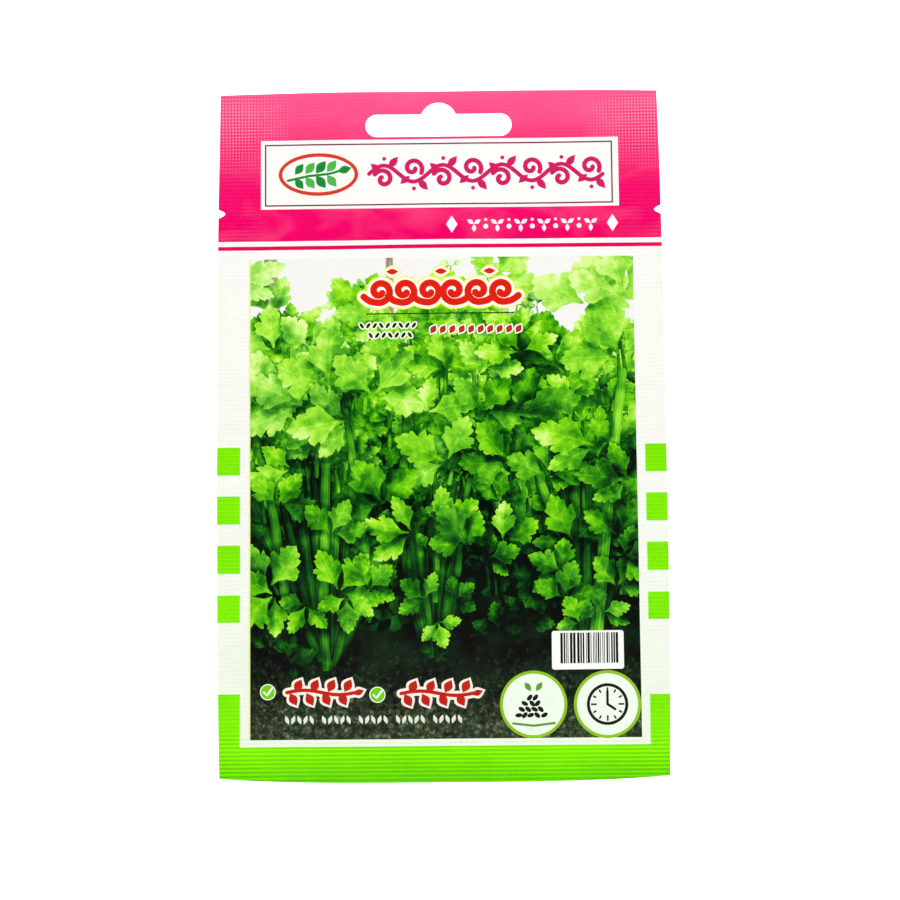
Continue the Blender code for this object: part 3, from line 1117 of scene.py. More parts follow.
def print_vine(plate):
    """A scrolling vine in the header's pink: a curl, two leaves and a dot for each half wave of its stem."""
    left, right, up = -14.2, 33.2, -17.0
    swing, half_wave = 1.7, 6.0
    xs = np.arange(left, right, 0.6)
    plate.stroke([(x, up + swing * math.sin(math.pi * (x - left) / half_wave)) for x in xs], 0.85, PINK)
    for i in range(8):
        x = left + half_wave * (i + 0.5)
        side = 1 if i % 2 else -1
        curl = spiral(x - 0.1, up + side * 1.1, 2.0, 0.5, 90 * side - 120, 1.05 * side, 20)
        plate.stroke(curl, 0.95, PINK)
        plate.ink(leaf_mark(x + 1.9, up - side * 2.3, 3.2, 1.5, -side * 50), values=PINK)
        plate.ink(leaf_mark(x - 1.7, up - side * 1.3, 2.6, 1.3, side * 40), values=PINK)
        plate.ink(circle(x + 0.1, up - side * 3.1, 0.42, 12), values=PINK)


def print_header_marks(plate):
    """Two white diamonds with a chain of small flowers and dots between them."""
    up = -27.6
    for x in (2.5, 35.0):
        plate.ink([(x - 1.15, up), (x, up - 1.75), (x + 1.15, up), (x, up + 1.75)])
    for i, x in enumerate(np.linspace(7.0, 30.6, 11)):
        if i % 2:
            plate.ink(circle(x, up - 0.5, 0.5, 12))
            plate.ink(circle(x, up + 0.9, 0.3, 10))
            continue
        for turn in (35, 145, 270):
            plate.ink(leaf_mark(*beyond(x, up, 0.85, turn), 1.6, 0.85, turn, 7))


def print_title(plate):
    """Red scrolls with a pale halo over a dark rule, and small rows of seeds and lozenges under it."""
    pale = "#fffdf0"
    paths = running_scroll(TITLE_LEFT, TITLE_RIGHT, TITLE_UP, TITLE_HEIGHT, 6)
    for extra, colour in ((1.5, "#f6ee5a"), (0.95, pale), (0.0, RED)):
        for path in paths:
            plate.stroke(path, 1.4 + extra, colour)
        for x in (-9.6, 0.2, 10.0):
            plate.ink(leaf_mark(x, -37.3, 2.6 + extra, 1.2 + extra, 0), values=colour)
    plate.ink(rectangle(-14.9, 14.9, -45.8, -46.05), values="#0f3a14")
    haloed = ((0.55, "#f4f8dc"), (0.0, "#1a1f18"))
    seed_row(plate, -16.4, -4.1, -48.3, 1.25, haloed)
    seed_row(plate, -14.6, -5.6, -50.3, 1.25, haloed)
    for extra, colour in ((0.6, pale), (0.0, "#b5321c")):
        for x in np.arange(-1.4, 16.8, 1.9):
            plate.ink(leaf_mark(x, -49.2, 2.0 + extra, 1.25 + extra, 60, 7), values=colour)


def print_barcode(plate, rng):
    """A white label with plain bars of seeded widths, which stand for no number."""
    plate.ink(rounded(21.4, 35.7, -109.5, -117.1, 0.5), values="#f8faf4")
    x = 23.1
    while x < 34.9:
        wide = rng.choice((0.16, 0.16, 0.32, 0.48))
        plate.ink(rectangle(x, x + wide, -109.9, -115.9), values=BLACK)
        x += wide + rng.choice((0.14, 0.16, 0.32))


def print_claims(plate):
    """Two ticked red sprigs and the pale line of leaf marks under them."""
    for x, up in TICKS:
        plate.ink(circle(x, up, 1.6, 26), values="#f4fbe4")
        plate.ink(circle(x, up, 1.4, 26), values="#74cc14")
        plate.stroke([(x - 0.75, up - 0.05), (x - 0.2, up - 0.65), (x + 0.85, up + 0.75)], 0.42, WHITE)
    haloed = ((1.1, "#f6ede0"), (0.0, DARK_RED))
    framed_sprig(plate, -31.0, -17.2, -121.2, 4.6, 4, haloed, 0.7)
    framed_sprig(plate, -8.4, 6.2, -121.5, 4.6, 4, haloed, 0.7)
    for i, x in enumerate(np.arange(-31.0, 3.2, 1.22)):
        if i % 6 != 5:
            plate.ink(leaf_mark(x, -126.6, 1.9, 0.8, 70 if i % 2 else 110, 6), values="#dfe8d8")


def print_badges(plate, rng):
    """Two round badges: a heap of seeds under a pair of leaves, and a plain dial."""
    for x, up in BADGES:
        plate.ink(circle(x, up, BADGE_RADIUS, 72), values="#8cc21c")
        plate.ink(circle(x, up, BADGE_RADIUS - BADGE_RING, 64), values=BADGE_WHITE)
    (x, up), (dial_x, dial_up) = BADGES
    for row in range(4):
        for along in np.arange(-3.0 + 0.7 * row, 3.1 - 0.7 * row, 1.25):
            spot = (x + along + rng.uniform(-0.15, 0.15), up - 2.1 + row * 1.15)
            plate.ink(ellipse(*spot, 0.72, 0.42, rng.uniform(-50, 50), 16), values=DIAL_BLACK)
    plate.stroke([(x - 4.1, up - 3.7), (x, up - 4.2), (x + 4.1, up - 3.7)], 0.45, SIGN_GREEN)
    for side in (-1, 1):
        plate.ink(leaf_mark(x + side * 1.1, up + 3.5, 2.2, 1.1, 90 - side * 35), values=SIGN_GREEN)
    plate.ink(circle(dial_x, dial_up, 4.1, 48), values=DIAL_BLACK)
    plate.ink(circle(dial_x, dial_up, 3.5, 48), values=BADGE_WHITE)
    for hour in range(12):
        reach = 2.3 if hour % 3 == 0 else 2.7
        mark = [beyond(dial_x, dial_up, radius, 30 * hour) for radius in (reach, 3.15)]
        plate.stroke(mark, 0.34, DIAL_BLACK)
    for end in ((dial_x, dial_up + 2.5), (dial_x + 1.5, dial_up - 1.0)):
        plate.stroke([(dial_x, dial_up), end], 0.5, DIAL_BLACK)


def front_plate(rng):
    """The front, as laid out in the photo. The badges reach past the picture's foot."""
    plate = Plate()
    print_ground(plate)
    print_header_panel(plate)
    print_emblem(plate, -24.5, -17.0)
    print_vine(plate)
    print_header_marks(plate)
    left, _, top, bottom = PICTURE
    plate.ink(rectangle(left - 0.3, left + 1, top, bottom), values="#e8f08a")
    plate.panel = plate.ink(rectangle(*PICTURE), "sky")
    paint_backdrop(plate, rng)
    paint_far_leaves(plate, rng)
    paint_bunches(plate, rng)
    paint_middle_leaves(plate, rng)
    paint_large_leaves(plate, rng)
    paint_low_leaves(plate, rng)
    print_title(plate)
    print_barcode(plate, rng)
    print_claims(plate)
    plate.panel = None
    print_badges(plate, rng)
    return plate


def print_lines(plate, top, spacing, lengths):
    """Plain rules where small print would stand."""
    for row, length in enumerate(lengths):
        up = top - row * spacing
        plate.ink(rectangle(CALENDAR_LEFT, CALENDAR_LEFT + length, up, up - 0.5), values=LINE_GREEN)


def print_calendar(plate):
    """Twelve boxes, each with a dot, and a bar in the sowing months."""
    wide, high = CALENDAR_BOX
    for month in range(12):
        x = CALENDAR_LEFT + (month % 6) * (wide + CALENDAR_GAP)
        up = CALENDAR_TOP - (month // 6) * (high + CALENDAR_GAP)
        plate.ink(rounded(x, x + wide, up, up - high, 0.8))
        if month in SOWING_MONTHS:
            plate.ink(rounded(x + 0.8, x + wide - 0.8, up - 5.2, up - 8.4, 0.5), values="#8ccb52")
        plate.ink(circle(x + wide / 2, up - 2.6, 0.9, 18), values=SPRIG_GREEN)


def print_signs(plate):
    """Three growing signs in rings: a sun, a drop, and two seedlings on a line of soil."""
    for x in (-SIGN_SPACING, 0.0, SIGN_SPACING):
        plate.ink(circle(x, SIGN_UP, SIGN_RADIUS, 60), values=SPRIG_GREEN)
        plate.ink(circle(x, SIGN_UP, SIGN_RADIUS - 0.7, 56))
    for turn in range(0, 360, 45):
        ray = [beyond(-SIGN_SPACING, SIGN_UP, radius, turn) for radius in (3.8, 6.0)]
        plate.stroke(ray, 0.8, "#e59a18")
    plate.ink(circle(-SIGN_SPACING, SIGN_UP, 2.8, 36), values="#f2b424")
    plate.ink([*arc(0.0, SIGN_UP - 1.6, 3.0, 160, 380, 24), (0.0, SIGN_UP + 5.4)], values="#3f9ed0")
    ground = rectangle(SIGN_SPACING - 5.5, SIGN_SPACING + 5.5, SIGN_UP - 3.6, SIGN_UP - 4.3)
    plate.ink(ground, values="#6a4a2c")
    for x in (SIGN_SPACING - 3.8, SIGN_SPACING + 3.8):
        plate.stroke([(x, SIGN_UP - 3.8), (x, SIGN_UP + 0.6)], 0.6, SPRIG_GREEN)
        for side in (-1, 1):
            shape = leaf_mark(x + side * 1.4, SIGN_UP + 1.8, 3.4, 1.7, 90 - side * 50)
            plate.ink(shape, values=SPRIG_GREEN)


def back_plate():
    """The back: the same fields, with a sowing calendar and plain growing signs."""
    plate = Plate()
    print_ground(plate)
    print_header_panel(plate)
    framed_sprig(plate, -27.0, 26.0, -17.1, 5.4, 10, ((0.0, SPRIG_GREEN),), 0.5)
    plate.ink(rounded(*BACK_PANEL, 2.0), values="#dff0c4")
    print_calendar(plate)
    print_lines(plate, -66.0, 4.2, (67.0, 58.0, 67.0, 58.0, 67.0))
    print_signs(plate)
    print_lines(plate, -114.5, 3.6, (67.0, 67.0, 55.0))
    return plate


# ---------------------------------------------------------------- materials


class Value:
    """A node's output, with the arithmetic of numbers. Each operation adds a node to the same tree."""

    def __init__(self, socket):
        self.socket = socket

    def maths(self, operation, *others):
        return node(self.socket.id_data, "Math", enumerate((self, *others)), operation=operation)

    def __add__(self, other):
        return self.maths("ADD", other)

    def __sub__(self, other):
        return self.maths("SUBTRACT", other)

    def __mul__(self, other):
        return self.maths("MULTIPLY", other)

    def __abs__(self):
        return self.maths("ABSOLUTE")

    def sine(self):
        return self.maths("SINE")

    def zigzag(self):
        """Back and forth between 0 and 0.5 for each step of 1."""
        return self.maths("PINGPONG", 0.5)

    def stretch(self, low, high, to_low=0.0, to_high=1.0):
        """Maps a range onto another, held at its ends."""
        inputs = {0: self, 1: low, 2: high, 3: to_low, 4: to_high}
        return node(self.socket.id_data, "MapRange", inputs)


def node(tree, kind, inputs=(), output=0, **settings):
    """A new node's output. inputs maps its sockets' names or numbers to what each one is given."""
    made = tree.nodes.new(f"ShaderNode{kind}")
    for key, setting in settings.items():
        setattr(made, key, setting)
    for key, given in dict(inputs).items():
        if isinstance(given, Value):
            tree.links.new(given.socket, made.inputs[key])
        else:
            made.inputs[key].default_value = given
    return Value(made.outputs[output])


FILM_SHEEN = 0.09
FILM_GLOSS = 0.30
KNURL_PACE = 8.2
KNURL_HEIGHT = 0.30
PEEL_HEIGHT = 0.25
SWELL_HEIGHT = 3.6


class Paint:
    """A new material. place is in millimetres: x, y and the height above the packet's foot."""

    def __init__(self, name):
        self.material = bpy.data.materials.new(name)
        self.material.use_nodes = True
        self.tree = self.material.node_tree
        raised = self.vector("ADD", self.node("TexCoord", output="Object"), (0, 0, -film_low.z))
        self.place = self.vector("MULTIPLY", raised, (1 / MM,) * 3)
        self.x, _, self.height = self.parts("SeparateXYZ", self.place)

    def node(self, kind, inputs=(), output=0, **settings):
        return node(self.tree, kind, inputs, output, **settings)

    def vector(self, operation, first, second):
        return self.node("VectorMath", {0: first, 1: second}, operation=operation)

    def parts(self, kind, whole):
        """The three parts of a place or of a colour."""
        outputs = self.node(kind, {0: whole}).socket.node.outputs
        return [Value(outputs[i]) for i in range(3)]

    def noise(self, scale, detail=3.0, roughness=0.5, distortion=0.0, place=None):
        inputs = {
            "Vector": place or self.place,
            "Scale": scale,
            "Detail": detail,
            "Roughness": roughness,
            "Distortion": distortion,
        }
        return self.node("TexNoise", inputs, "Fac")

    def mix(self, share, first, second, kind="MIX"):
        """Mixes two colours, each a hex code or a value."""
        inputs = {0: share}
        for key, colour in ((6, first), (7, second)):
            inputs[key] = (*linear(colour), 1.0) if isinstance(colour, str) else colour
        return self.node("Mix", inputs, 2, data_type="RGBA", blend_type=kind)

    def shaded(self, colour, factor):
        """The colour times a factor."""
        grey = self.node("CombineColor", {0: factor, 1: factor, 2: factor})
        return self.mix(1.0, colour, grey, "MULTIPLY")

    def ramp(self, share, stops):
        """A colour between stops, each a position from 0 to 1 and a hex code."""
        colour = self.node("ValToRGB", {0: share})
        elements = colour.socket.node.color_ramp.elements
        while len(elements) < len(stops):
            elements.new(1.0)
        for element, (position, code) in zip(elements, stops):
            element.position = position
            element.color = (*linear(code), 1.0)
        return colour

    def down(self, stops):
        """A colour by the distance below the top edge, from ((millimetres, hex code), ...)."""
        share = self.height.stretch(0.0, HEIGHT, 1.0, 0.0)
        return self.ramp(share, [(depth / HEIGHT, code) for depth, code in stops])

    def grained(self, colour, amount=0.06):
        """The faint mottle of a printed solid."""
        mottle = self.noise(2.2, 4.0, 0.65).stretch(0.25, 0.75, 1 - amount, 1 + amount)
        return self.shaded(colour, mottle)

    def connect(self, **given):
        """Links values to the shader's inputs, such as base_color."""
        inputs = self.tree.nodes["Principled BSDF"].inputs
        for name, value in given.items():
            self.tree.links.new(value.socket, inputs[name.replace("_", " ").title()])

    def laminated(self, colour, gloss=FILM_GLOSS):
        """The material, with the colour under a satin film: slightly uneven, and knurled at the seals."""
        self.tree.nodes["Principled BSDF"].inputs["Specular IOR Level"].default_value = FILM_SHEEN
        patches = self.noise(0.16, 2.0).stretch(0.3, 0.7, gloss - 0.05, gloss + 0.07)
        fine = self.noise(1.4, 3.0)
        beside = abs(self.x).stretch(POUCH_HALF - 0.5, POUCH_HALF + 0.5)
        header = self.height.stretch(HEIGHT - TOP_SEAL - 1, HEIGHT - TOP_SEAL + 1, 0.0, 0.4)
        rising = ((self.x + self.height) * KNURL_PACE).sine()
        falling = ((self.x - self.height) * KNURL_PACE).sine()
        knurl = rising * falling * beside.maths("MAXIMUM", header)
        bumps = knurl * KNURL_HEIGHT + fine * PEEL_HEIGHT + self.noise(0.22, 2.0) * SWELL_HEIGHT
        bump = self.node("Bump", {"Height": bumps, "Distance": 0.00004, "Strength": 0.8})
        self.connect(base_color=colour, roughness=patches + fine.stretch(0.3, 0.7, -0.02, 0.02), normal=bump)
        return self.material


# Spacing and strength of the painted glints at the header's top corners.
PAINTED_GLINT_PITCH = 1.3
PAINTED_GLINT = 0.55


def painted_crimp_light(paint, colour, depth):
    """Painted light on the seals' pressed lines: fine lighter and darker level lines as painted shading of
    the crimp, and painted glints at the top corners.
    """
    x, height = paint.x, paint.height
    beside = abs(x).stretch(POUCH_HALF - 1.5, POUCH_HALF + 1.0)
    header = height.stretch(HEIGHT - TOP_SEAL - 2, HEIGHT - TOP_SEAL + 2, 0.0, 0.45)
    fade = paint.noise(0.25, 2.0).stretch(0.35, 0.65, 0.3, 1.0)
    # Painted shading of the crimp: the colour made lighter and darker along level lines.
    lines = (height * (math.pi / CRIMP_PITCH)).sine() * (beside.maths("MAXIMUM", header) * fade)
    crimp_shaded = paint.shaded(colour, lines * depth + 1.0)
    # Painted glints: a diamond grid of spots mixed towards white at the top corners.
    pace = 2 * math.pi / PAINTED_GLINT_PITCH
    points = (((x + height) * pace).sine() * ((x - height) * pace).sine()).stretch(0.45, 0.9)
    corner = abs(x).stretch(29.0, 40.0) * height.stretch(HEIGHT - 17, HEIGHT - 8)
    edge = height.stretch(HEIGHT - 3.0, HEIGHT - 0.8, 1.0, 0.2)
    return paint.mix(points * corner * edge * PAINTED_GLINT, crimp_shaded, WHITE)


def flat_ink():
    """A spot colour, held in the mesh."""
    paint = Paint("flat_ink")
    colour = paint.node("Attribute", output="Color", attribute_name="ink")
    return paint.laminated(paint.grained(colour))


def white_ink():
    """The bare white film, a little greener towards the foot, with the seals' painted crimp shading and
    corner glints.
    """
    paint = Paint("white_ink")
    tint = paint.down(((0, "#f9f6f3"), (40, "#f4f4ee"), (100, "#f0f4e8"), (HEIGHT, "#e9f5de")))
    return paint.laminated(paint.grained(painted_crimp_light(paint, tint, 0.022), 0.02))


def pink_ink():
    """The header's pink, paler at its top partly by print and partly as painted sheen, with soft patches of
    painted sheen and the seals' painted crimp shading and glints.
    """
    paint = Paint("pink_ink")
    # Paler towards the top: partly the print's own gradient, partly painted sheen.
    tint = paint.down(((0, "#fe5a8c"), (10, "#fc3a7a"), (20, "#f50c6a"), (31, "#ee0063")))
    wide = paint.vector("MULTIPLY", paint.place, (0.5, 1.0, 1.0))
    # Soft lighter patches: painted sheen.
    patches = paint.noise(0.16, 2.0, 0.55, 0.4, wide).stretch(0.48, 0.72, 0.0, 0.26)
    tint = paint.mix(patches, tint, "#ff6f9e")
    return paint.laminated(paint.grained(painted_crimp_light(paint, tint, 0.22)), 0.28)


def lime_ink():
    """The squares' and the footer's lime, darker at the very foot as painted shade, with painted glints along
    the ribs of the bottom seal and the seals' painted crimp shading.
    """
    paint = Paint("lime_ink")
    # The last stop darkens the foot: painted shade.
    tint = paint.down(((70, LIME), (122, "#7eec00"), (133, "#7eea00"), (HEIGHT, "#5ecc00")))
    ribs = (paint.height * (2 * math.pi / RIB_PITCH)).sine()
    # Painted glints: lighter lines along the ribs' crests.
    glints = ribs.stretch(-0.2, 1.0, -0.07, 0.24)
    on_seal = paint.height.stretch(BOTTOM_SEAL - 0.8, BOTTOM_SEAL + 0.6, 1.0, 0.0)
    clouds = paint.noise(0.07, 2.0).stretch(0.35, 0.65, 0.93, 1.05)
    tint = paint.shaded(tint, clouds + glints * on_seal)
    return paint.laminated(paint.grained(painted_crimp_light(paint, tint, 0.07)))


GREENS = (
    (0.00, "#010802"),
    (0.12, "#022407"),
    (0.26, "#094a0b"),
    (0.40, "#247b08"),
    (0.54, "#4cac08"),
    (0.68, "#7ad212"),
    (0.82, "#a8e82e"),
    (1.00, "#d4f584"),
)
PALE_GREENS = ((0.00, "#06240a"), (0.35, "#30802a"), (0.60, "#7ecb4c"), (0.80, "#b6e976"), (1.00, "#e6fab4"))
EARTHS = ((0.00, "#030503"), (0.25, "#161c12"), (0.50, "#34402a"), (0.75, "#5f684a"), (1.00, "#9ca080"))
BROWNS = ((0.0, "#3a2413"), (0.5, "#6a4a2a"), (1.0, "#9c7c50"))


def greens(paint, tone, pale):
    """The picture's greens by tone, turned towards a pale mint."""
    return paint.mix(pale, paint.ramp(tone, GREENS), paint.ramp(tone, PALE_GREENS))


def painted_values(paint):
    """The tone, paleness and seed of a painted shape, and its place along and across itself."""
    values = paint.parts("SeparateColor", paint.node("Attribute", output="Color", attribute_name="ink"))
    along, across, _ = paint.parts("SeparateXYZ", paint.node("UVMap", uv_map="leaf"))
    return *values, along, across


def dapple(paint):
    """Broad pools of light and shade over the plants."""
    pools = paint.noise(0.10, 2.0, 0.5, 0.6).stretch(0.36, 0.64, -0.13, 0.13)
    return pools + paint.noise(0.26, 1.0).stretch(0.35, 0.65, -0.06, 0.06)


def leaf():
    """A leaf in the picture: midrib, side veins, a lit half and a shaded half, and mottling."""
    paint = Paint("leaf")
    tone, pale, seed, along, across = painted_values(paint)
    aside = abs(across)
    lit = across.stretch(-0.09, 0.09, -1.0, 1.0) * seed.stretch(0.0, 1.0, -0.12, 0.12)
    rib = aside.stretch(0.0, 0.025, 0.08, 0.0)
    slant = along - aside * 0.9
    veins = (slant * 6.5).zigzag().stretch(0.0, 0.13, 0.04, 0.0)
    ripple = (slant * 3.25).zigzag().stretch(0.0, 0.5, -0.04, 0.04)
    tip = along.stretch(0.0, 1.0, -0.17, 0.10)
    blotch = paint.noise(0.55, 3.0, 0.6, 0.6).stretch(0.3, 0.7, -0.10, 0.10)
    grain = paint.noise(3.0, 2.0).stretch(0.3, 0.7, -0.03, 0.03)
    shown = tone + lit + rib + veins + ripple + tip + blotch + grain + dapple(paint)
    return paint.laminated(greens(paint, shown, pale))


def ribbed_stalk():
    """A stalk in the picture: round across, with lengthwise grooves."""
    paint = Paint("stalk")
    tone, pale, seed, along, across = painted_values(paint)
    shifted = across + seed.stretch(0.0, 1.0, -0.1, 0.5)
    grooves = (across * 11.0).sine() * 0.035
    lengthwise = paint.node("CombineXYZ", {0: across * 3.0, 1: along, 2: seed})
    streaks = paint.noise(2.0, 2.0, place=lengthwise).stretch(0.3, 0.7, -0.06, 0.08)
    shown = tone + shifted * shifted * -0.16 + grooves + streaks + dapple(paint) + 0.06
    return paint.laminated(greens(paint, shown, pale))


def far_foliage():
    """The blurred depth of the plants: lit flecks above, near black below."""
    paint = Paint("far_foliage")
    cells = paint.node("TexVoronoi", {"Vector": paint.place, "Scale": 0.55, "Randomness": 1.0}, "Color")
    cell = paint.parts("SeparateColor", cells)[0]
    lit = paint.height.stretch(HEIGHT - 100, HEIGHT - 60, -0.14, 0.62)
    fleck = cell.stretch(0.0, 1.0, -0.18, 0.24)
    soft = paint.noise(0.35, 4.0, 0.6).stretch(0.3, 0.7, -0.14, 0.14)
    glint = paint.noise(1.1, 2.0, 0.5, 1.0).stretch(0.66, 0.72, 0.0, 0.35)
    glint *= paint.height.stretch(HEIGHT - 95, HEIGHT - 60)
    shown = lit + fleck + soft + glint + dapple(paint)
    return paint.laminated(greens(paint, shown, cell.stretch(0.4, 1.0, 0.0, 0.35)))


def soil():
    """Dark crumbly earth, near black under the plants and greyer below, with mossy and reddish patches."""
    paint = Paint("soil")
    crumbs = paint.node("TexVoronoi", {"Vector": paint.place, "Scale": 1.6, "Randomness": 1.0}, "Color")
    crumb = paint.parts("SeparateColor", crumbs)[0].maths("POWER", 3.0).stretch(0.0, 1.0, -0.08, 0.26)
    rough = paint.noise(0.8, 8.0, 0.78, 0.1).stretch(0.35, 0.65, -0.30, 0.34)
    lit = paint.height.stretch(HEIGHT - 127, HEIGHT - 112, 0.44, -0.14)
    moss = paint.noise(0.13, 2.0).stretch(0.45, 0.7, 0.0, 0.35)
    mossy = paint.mix(moss, paint.ramp(lit + rough + crumb, EARTHS), "#1c4020")
    fade = paint.noise(0.10, 1.0, 0.5, 0.5).stretch(0.58, 0.78, 1.0, 0.72)
    reddish = paint.node("CombineColor", {0: 1.0, 1: fade, 2: fade * fade})
    return paint.laminated(paint.mix(1.0, mossy, reddish, "MULTIPLY"))


def sky():
    """The pale sky, with blurred far twigs."""
    paint = Paint("sky")
    haze = paint.noise(0.12, 3.0).stretch(0.4, 0.8, 0.0, 0.5)
    twigs = paint.noise(0.8, 4.0, 0.7, 1.5).stretch(0.62, 0.70, 0.0, 0.30)
    return paint.laminated(paint.mix(twigs, paint.mix(haze, "#f1efec", "#eaf0e2"), "#b9d692"))


def stake():
    """A weathered wooden stake."""
    paint = Paint("stake")
    lengthwise = paint.vector("MULTIPLY", paint.place, (3.0, 1.0, 0.25))
    grain = paint.noise(0.9, 4.0, 0.6, place=lengthwise).stretch(0.3, 0.7)
    return paint.laminated(paint.mix(grain, "#77695a", "#c9bda9"))


def film_inner():
    """The unprinted sealing layer, a milky film."""
    paint = Paint("film_inner")
    milk = paint.noise(0.3, 3.0).stretch(0.3, 0.7)
    return paint.laminated(paint.mix(milk, "#d8dcd8", "#e8ebe8"), 0.36)


def film_rim():
    """The cut edge: film layers seen end on."""
    paint = Paint("film_rim")
    layers = paint.noise(3.0, 2.0).stretch(0.3, 0.7)
    pale = paint.mix(layers, "#cfd4cc", "#eef0ea")
    paint.connect(base_color=pale, roughness=layers.stretch(0.0, 1.0, 0.35, 0.5))
    return paint.material


def seed_coat():
    """Brown ridged seed coats, each seed a little different."""
    paint = Paint("seed_coat")
    kind = paint.parts("SeparateColor", paint.node("Attribute", output="Color", attribute_name="ink"))[0]
    grain = paint.noise(5.0, 3.0).stretch(0.3, 0.7, -0.2, 0.2)
    bump = paint.node("Bump", {"Height": grain, "Distance": 0.00003, "Strength": 0.6})
    rough = grain.stretch(-0.2, 0.2, 0.6, 0.8)
    paint.connect(base_color=paint.ramp(kind + grain, BROWNS), roughness=rough, normal=bump)
    return paint.material


# ---------------------------------------------------------------- seeds


SEED_LENGTH = 1.45
SEED_BREADTH = 0.85
SEED_RINGS = ((0.22, 0.62), (0.5, 1.0), (0.8, 0.66))
SEED_RIBS = 5
SEED_GROOVE = 0.84
SEED_SPACING = (1.6, 0.95, 1.3)
SEED_STRAY = 0.12
SEED_LAYERS = range(-3, 4)
FULL_TURN = 6.3


def seed_shape():
    """One ribbed seed along +X, its middle at the origin: points and faces."""
    sides = SEED_RIBS * 2
    points = [(-0.5, 0.0, 0.0)]
    for along, breadth in SEED_RINGS:
        for i in range(sides):
            angle = 2 * math.pi * i / sides
            radius = 0.5 * breadth * (1.0 if i % 2 else SEED_GROOVE)
            points.append((along - 0.5, radius * math.cos(angle), radius * math.sin(angle)))
    points.append((0.5, 0.0, 0.0))
    last = len(points) - 1
    faces = [(0, 1 + (i + 1) % sides, 1 + i) for i in range(sides)]
    for ring in range(len(SEED_RINGS) - 1):
        low = 1 + ring * sides
        for i in range(sides):
            j = (i + 1) % sides
            faces.append((low + i, low + j, low + sides + j, low + sides + i))
    low = 1 + (len(SEED_RINGS) - 1) * sides
    faces.extend((low + i, low + (i + 1) % sides, last) for i in range(sides))
    return np.array(points) * [SEED_LENGTH, SEED_BREADTH, SEED_BREADTH], faces


def heap_depth(x, up):
    """0 on the heap's edge and 1 at its middle."""
    across = abs(2 * x / HEAP_WIDTH) ** HEAP_SQUARENESS
    along = abs(2 * (up - HEAP_MIDDLE) / HEAP_HEIGHT) ** HEAP_SQUARENESS
    return max(0.0, 1 - across - along)


def seed_places(rng):
    """Staggered layers of seed middles through the heap's thickness."""
    by_x, by_y, by_up = SEED_SPACING
    heap_foot = HEAP_MIDDLE - HEAP_HEIGHT / 2
    places = []
    for layer in SEED_LAYERS:
        y = layer * by_y
        for row, row_up in enumerate(np.arange(heap_foot, HEAP_MIDDLE + HEAP_HEIGHT / 2, by_up)):
            shift = by_x / 2 * ((row + layer) % 2)
            for column in np.arange(-HEAP_WIDTH / 2 + shift, HEAP_WIDTH / 2, by_x):
                x = column + rng.uniform(-SEED_STRAY, SEED_STRAY)
                up = row_up + rng.uniform(-SEED_STRAY, SEED_STRAY)
                room = float(stand_off(x, up)) - SEED_CLEARANCE
                half_depth = 0.1 + (room - 0.1) * heap_depth(x, up) ** 0.4
                if heap_depth(x, up) > 0.05 and abs(y) + SEED_BREADTH / 2 < half_depth + 0.2:
                    places.append((x, y, up))
    return places


def add_seeds(material, rng):
    """The loose seeds, as one object of many separate seeds."""
    shape, faces = seed_shape()
    points = []
    all_faces = []
    kinds = []
    corners_each = sum(len(face) for face in faces)
    for x, y, up in seed_places(rng):
        turn = Euler((rng.uniform(0, FULL_TURN), rng.uniform(-0.25, 0.25), 0.0)).to_matrix()
        spin = Euler((0.0, rng.uniform(0, FULL_TURN), 0.0)).to_matrix()
        size = rng.uniform(0.85, 1.05)
        first = len(points)
        middle = np.array([x, y + float(waver(x, up)), up])
        points.extend((shape * size) @ np.array(spin @ turn).T + middle)
        all_faces.extend(tuple(first + i for i in face) for face in faces)
        kinds.extend([rng.random()] * corners_each)
    mesh = bpy.data.meshes.new("seeds")
    mesh.from_pydata(np.array(points) * MM + [0, 0, TOP], [], all_faces)
    mesh.materials.append(material)
    mesh.shade_smooth()
    attribute = mesh.attributes.new("ink", "FLOAT_COLOR", "CORNER")
    attribute.data.foreach_set("color", np.repeat(np.array(kinds, np.float32), 4))
    return in_scene("seeds", mesh)


# ---------------------------------------------------------------- stage, light and camera


MIDDLE = Vector((0.0, 0.0, (film_low.z + film_high.z) / 2))
FLOOR_DROP = 0.09
SWEEP_FRONT = -2.5
SWEEP_BACK = 1.6
SWEEP_BEND = 0.5
SWEEP_HEIGHT = 3.0
SWEEP_HALF = 3.0
LIGHT_POWER = 10.9
AMBIENT = 0.10
LIGHTS = (
    ("key_left", (-1.15, -0.75, 0.55), 0.9, 1.0),
    ("key_right", (1.15, -0.75, 0.45), 0.9, 1.0),
    ("top", (0.0, -0.60, 1.25), 0.9, 0.7),
    ("back_left", (-0.9, 0.9, 0.6), 0.8, 0.6),
    ("back_right", (0.9, 0.9, 0.6), 0.8, 0.6),
)
CAMERA_LENS = 60.0
CAMERA_SENSOR = 36.0
CAMERA_OFFSET = (0.0044, -0.2994, -0.0273)
CAMERA_TURN = (94.47, 0.55, 0.56)


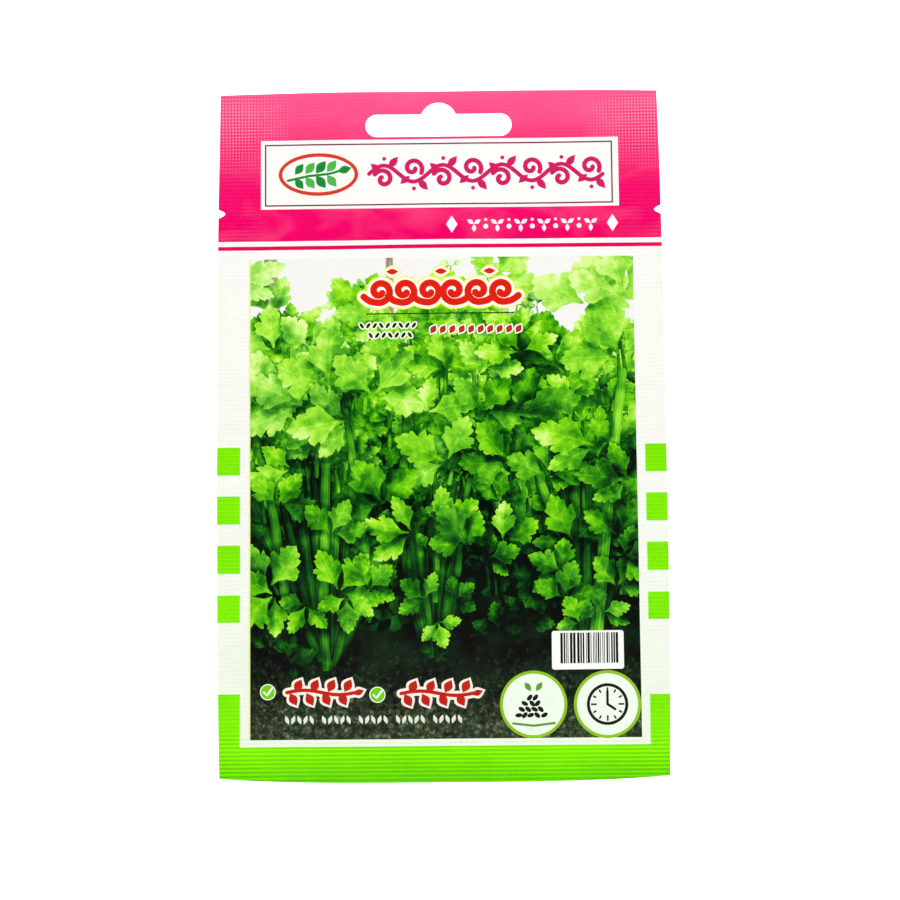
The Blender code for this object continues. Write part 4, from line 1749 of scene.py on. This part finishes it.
def add_stage():
    """A plain white sweep: floor below the hanging packet, rising far behind it."""
    floor, bend = film_low.z - FLOOR_DROP, SWEEP_BACK - SWEEP_BEND
    profile = [(SWEEP_FRONT, floor), (bend, floor)]
    for i in range(1, 13):
        angle = math.pi / 2 * i / 12
        profile.append((bend + SWEEP_BEND * math.sin(angle), floor + SWEEP_BEND * (1 - math.cos(angle))))
    profile.append((SWEEP_BACK, floor + SWEEP_HEIGHT))
    points = [(x, y, z) for y, z in profile for x in (-SWEEP_HALF, SWEEP_HALF)]
    faces = [(2 * i, 2 * i + 1, 2 * i + 3, 2 * i + 2) for i in range(len(profile) - 1)]
    mesh = bpy.data.meshes.new("sweep")
    mesh.from_pydata(points, [], faces)
    mesh.shade_smooth()
    material = bpy.data.materials.new("studio_white")
    material.use_nodes = True
    tree = material.node_tree
    inputs = tree.nodes["Principled BSDF"].inputs
    inputs["Base Color"].default_value = (0.9, 0.9, 0.9, 1.0)
    inputs["Roughness"].default_value = 0.9
    inputs["Emission Color"].default_value = (1.0, 1.0, 1.0, 1.0)
    tree.links.new(node(tree, "LightPath", output="Is Camera Ray").socket, inputs["Emission Strength"])
    mesh.materials.append(material)
    in_scene("sweep", mesh)


def add_light(name, place, size, share):
    """A soft square light aimed at the packet's middle, with a share of the main lights' power."""
    light = bpy.data.lights.new(name, "AREA")
    light.shape = "SQUARE"
    light.size = size
    light.energy = LIGHT_POWER * share
    obj = in_scene(name, light)
    obj.location = place
    obj.rotation_euler = (MIDDLE - obj.location).to_track_quat("-Z", "Y").to_euler()
    obj.visible_camera = False


def add_world():
    """White all round: full where the camera sees it, and faint as light."""
    world = bpy.data.worlds.new("studio")
    world.use_nodes = True
    tree = world.node_tree
    inputs = tree.nodes["Background"].inputs
    inputs["Color"].default_value = (1.0, 1.0, 1.0, 1.0)
    seen = node(tree, "LightPath", output="Is Camera Ray")
    tree.links.new(seen.stretch(0.0, 1.0, AMBIENT, 1.0).socket, inputs["Strength"])
    bpy.context.scene.world = world


def add_camera():
    """The camera stands in front of the packet, a little below its middle, and looks slightly up."""
    camera = bpy.data.cameras.new("camera")
    camera.lens = CAMERA_LENS
    camera.sensor_width = CAMERA_SENSOR
    camera.clip_start = 0.01
    obj = in_scene("camera", camera)
    obj.location = MIDDLE + Vector(CAMERA_OFFSET)
    obj.rotation_euler = [math.radians(a) for a in CAMERA_TURN]
    bpy.context.scene.camera = obj


# ---------------------------------------------------------------- the scene


def by_name(*materials):
    return {material.name: material for material in materials}


def main():
    add_camera()
    for light in LIGHTS:
        add_light(*light)
    add_world()
    add_stage()
    bpy.context.scene.view_settings.view_transform = "Standard"

    shared = by_name(film_inner(), film_rim(), flat_ink(), white_ink(), pink_ink(), lime_ink())
    picture = by_name(leaf(), ribbed_stalk(), far_foliage(), soil(), sky(), stake())

    front = add_web("printed_front", -1, front_plate(random.Random(7)), shared | picture, random.Random(1))
    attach(front, "root")
    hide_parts("front_film")

    back = add_web("printed_back", 1, back_plate(), shared, random.Random(2))
    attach(back, "root")
    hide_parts("back_film")

    seeds = add_seeds(seed_coat(), random.Random(3))
    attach(seeds, "root")
    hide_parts("seed_fill")


main()
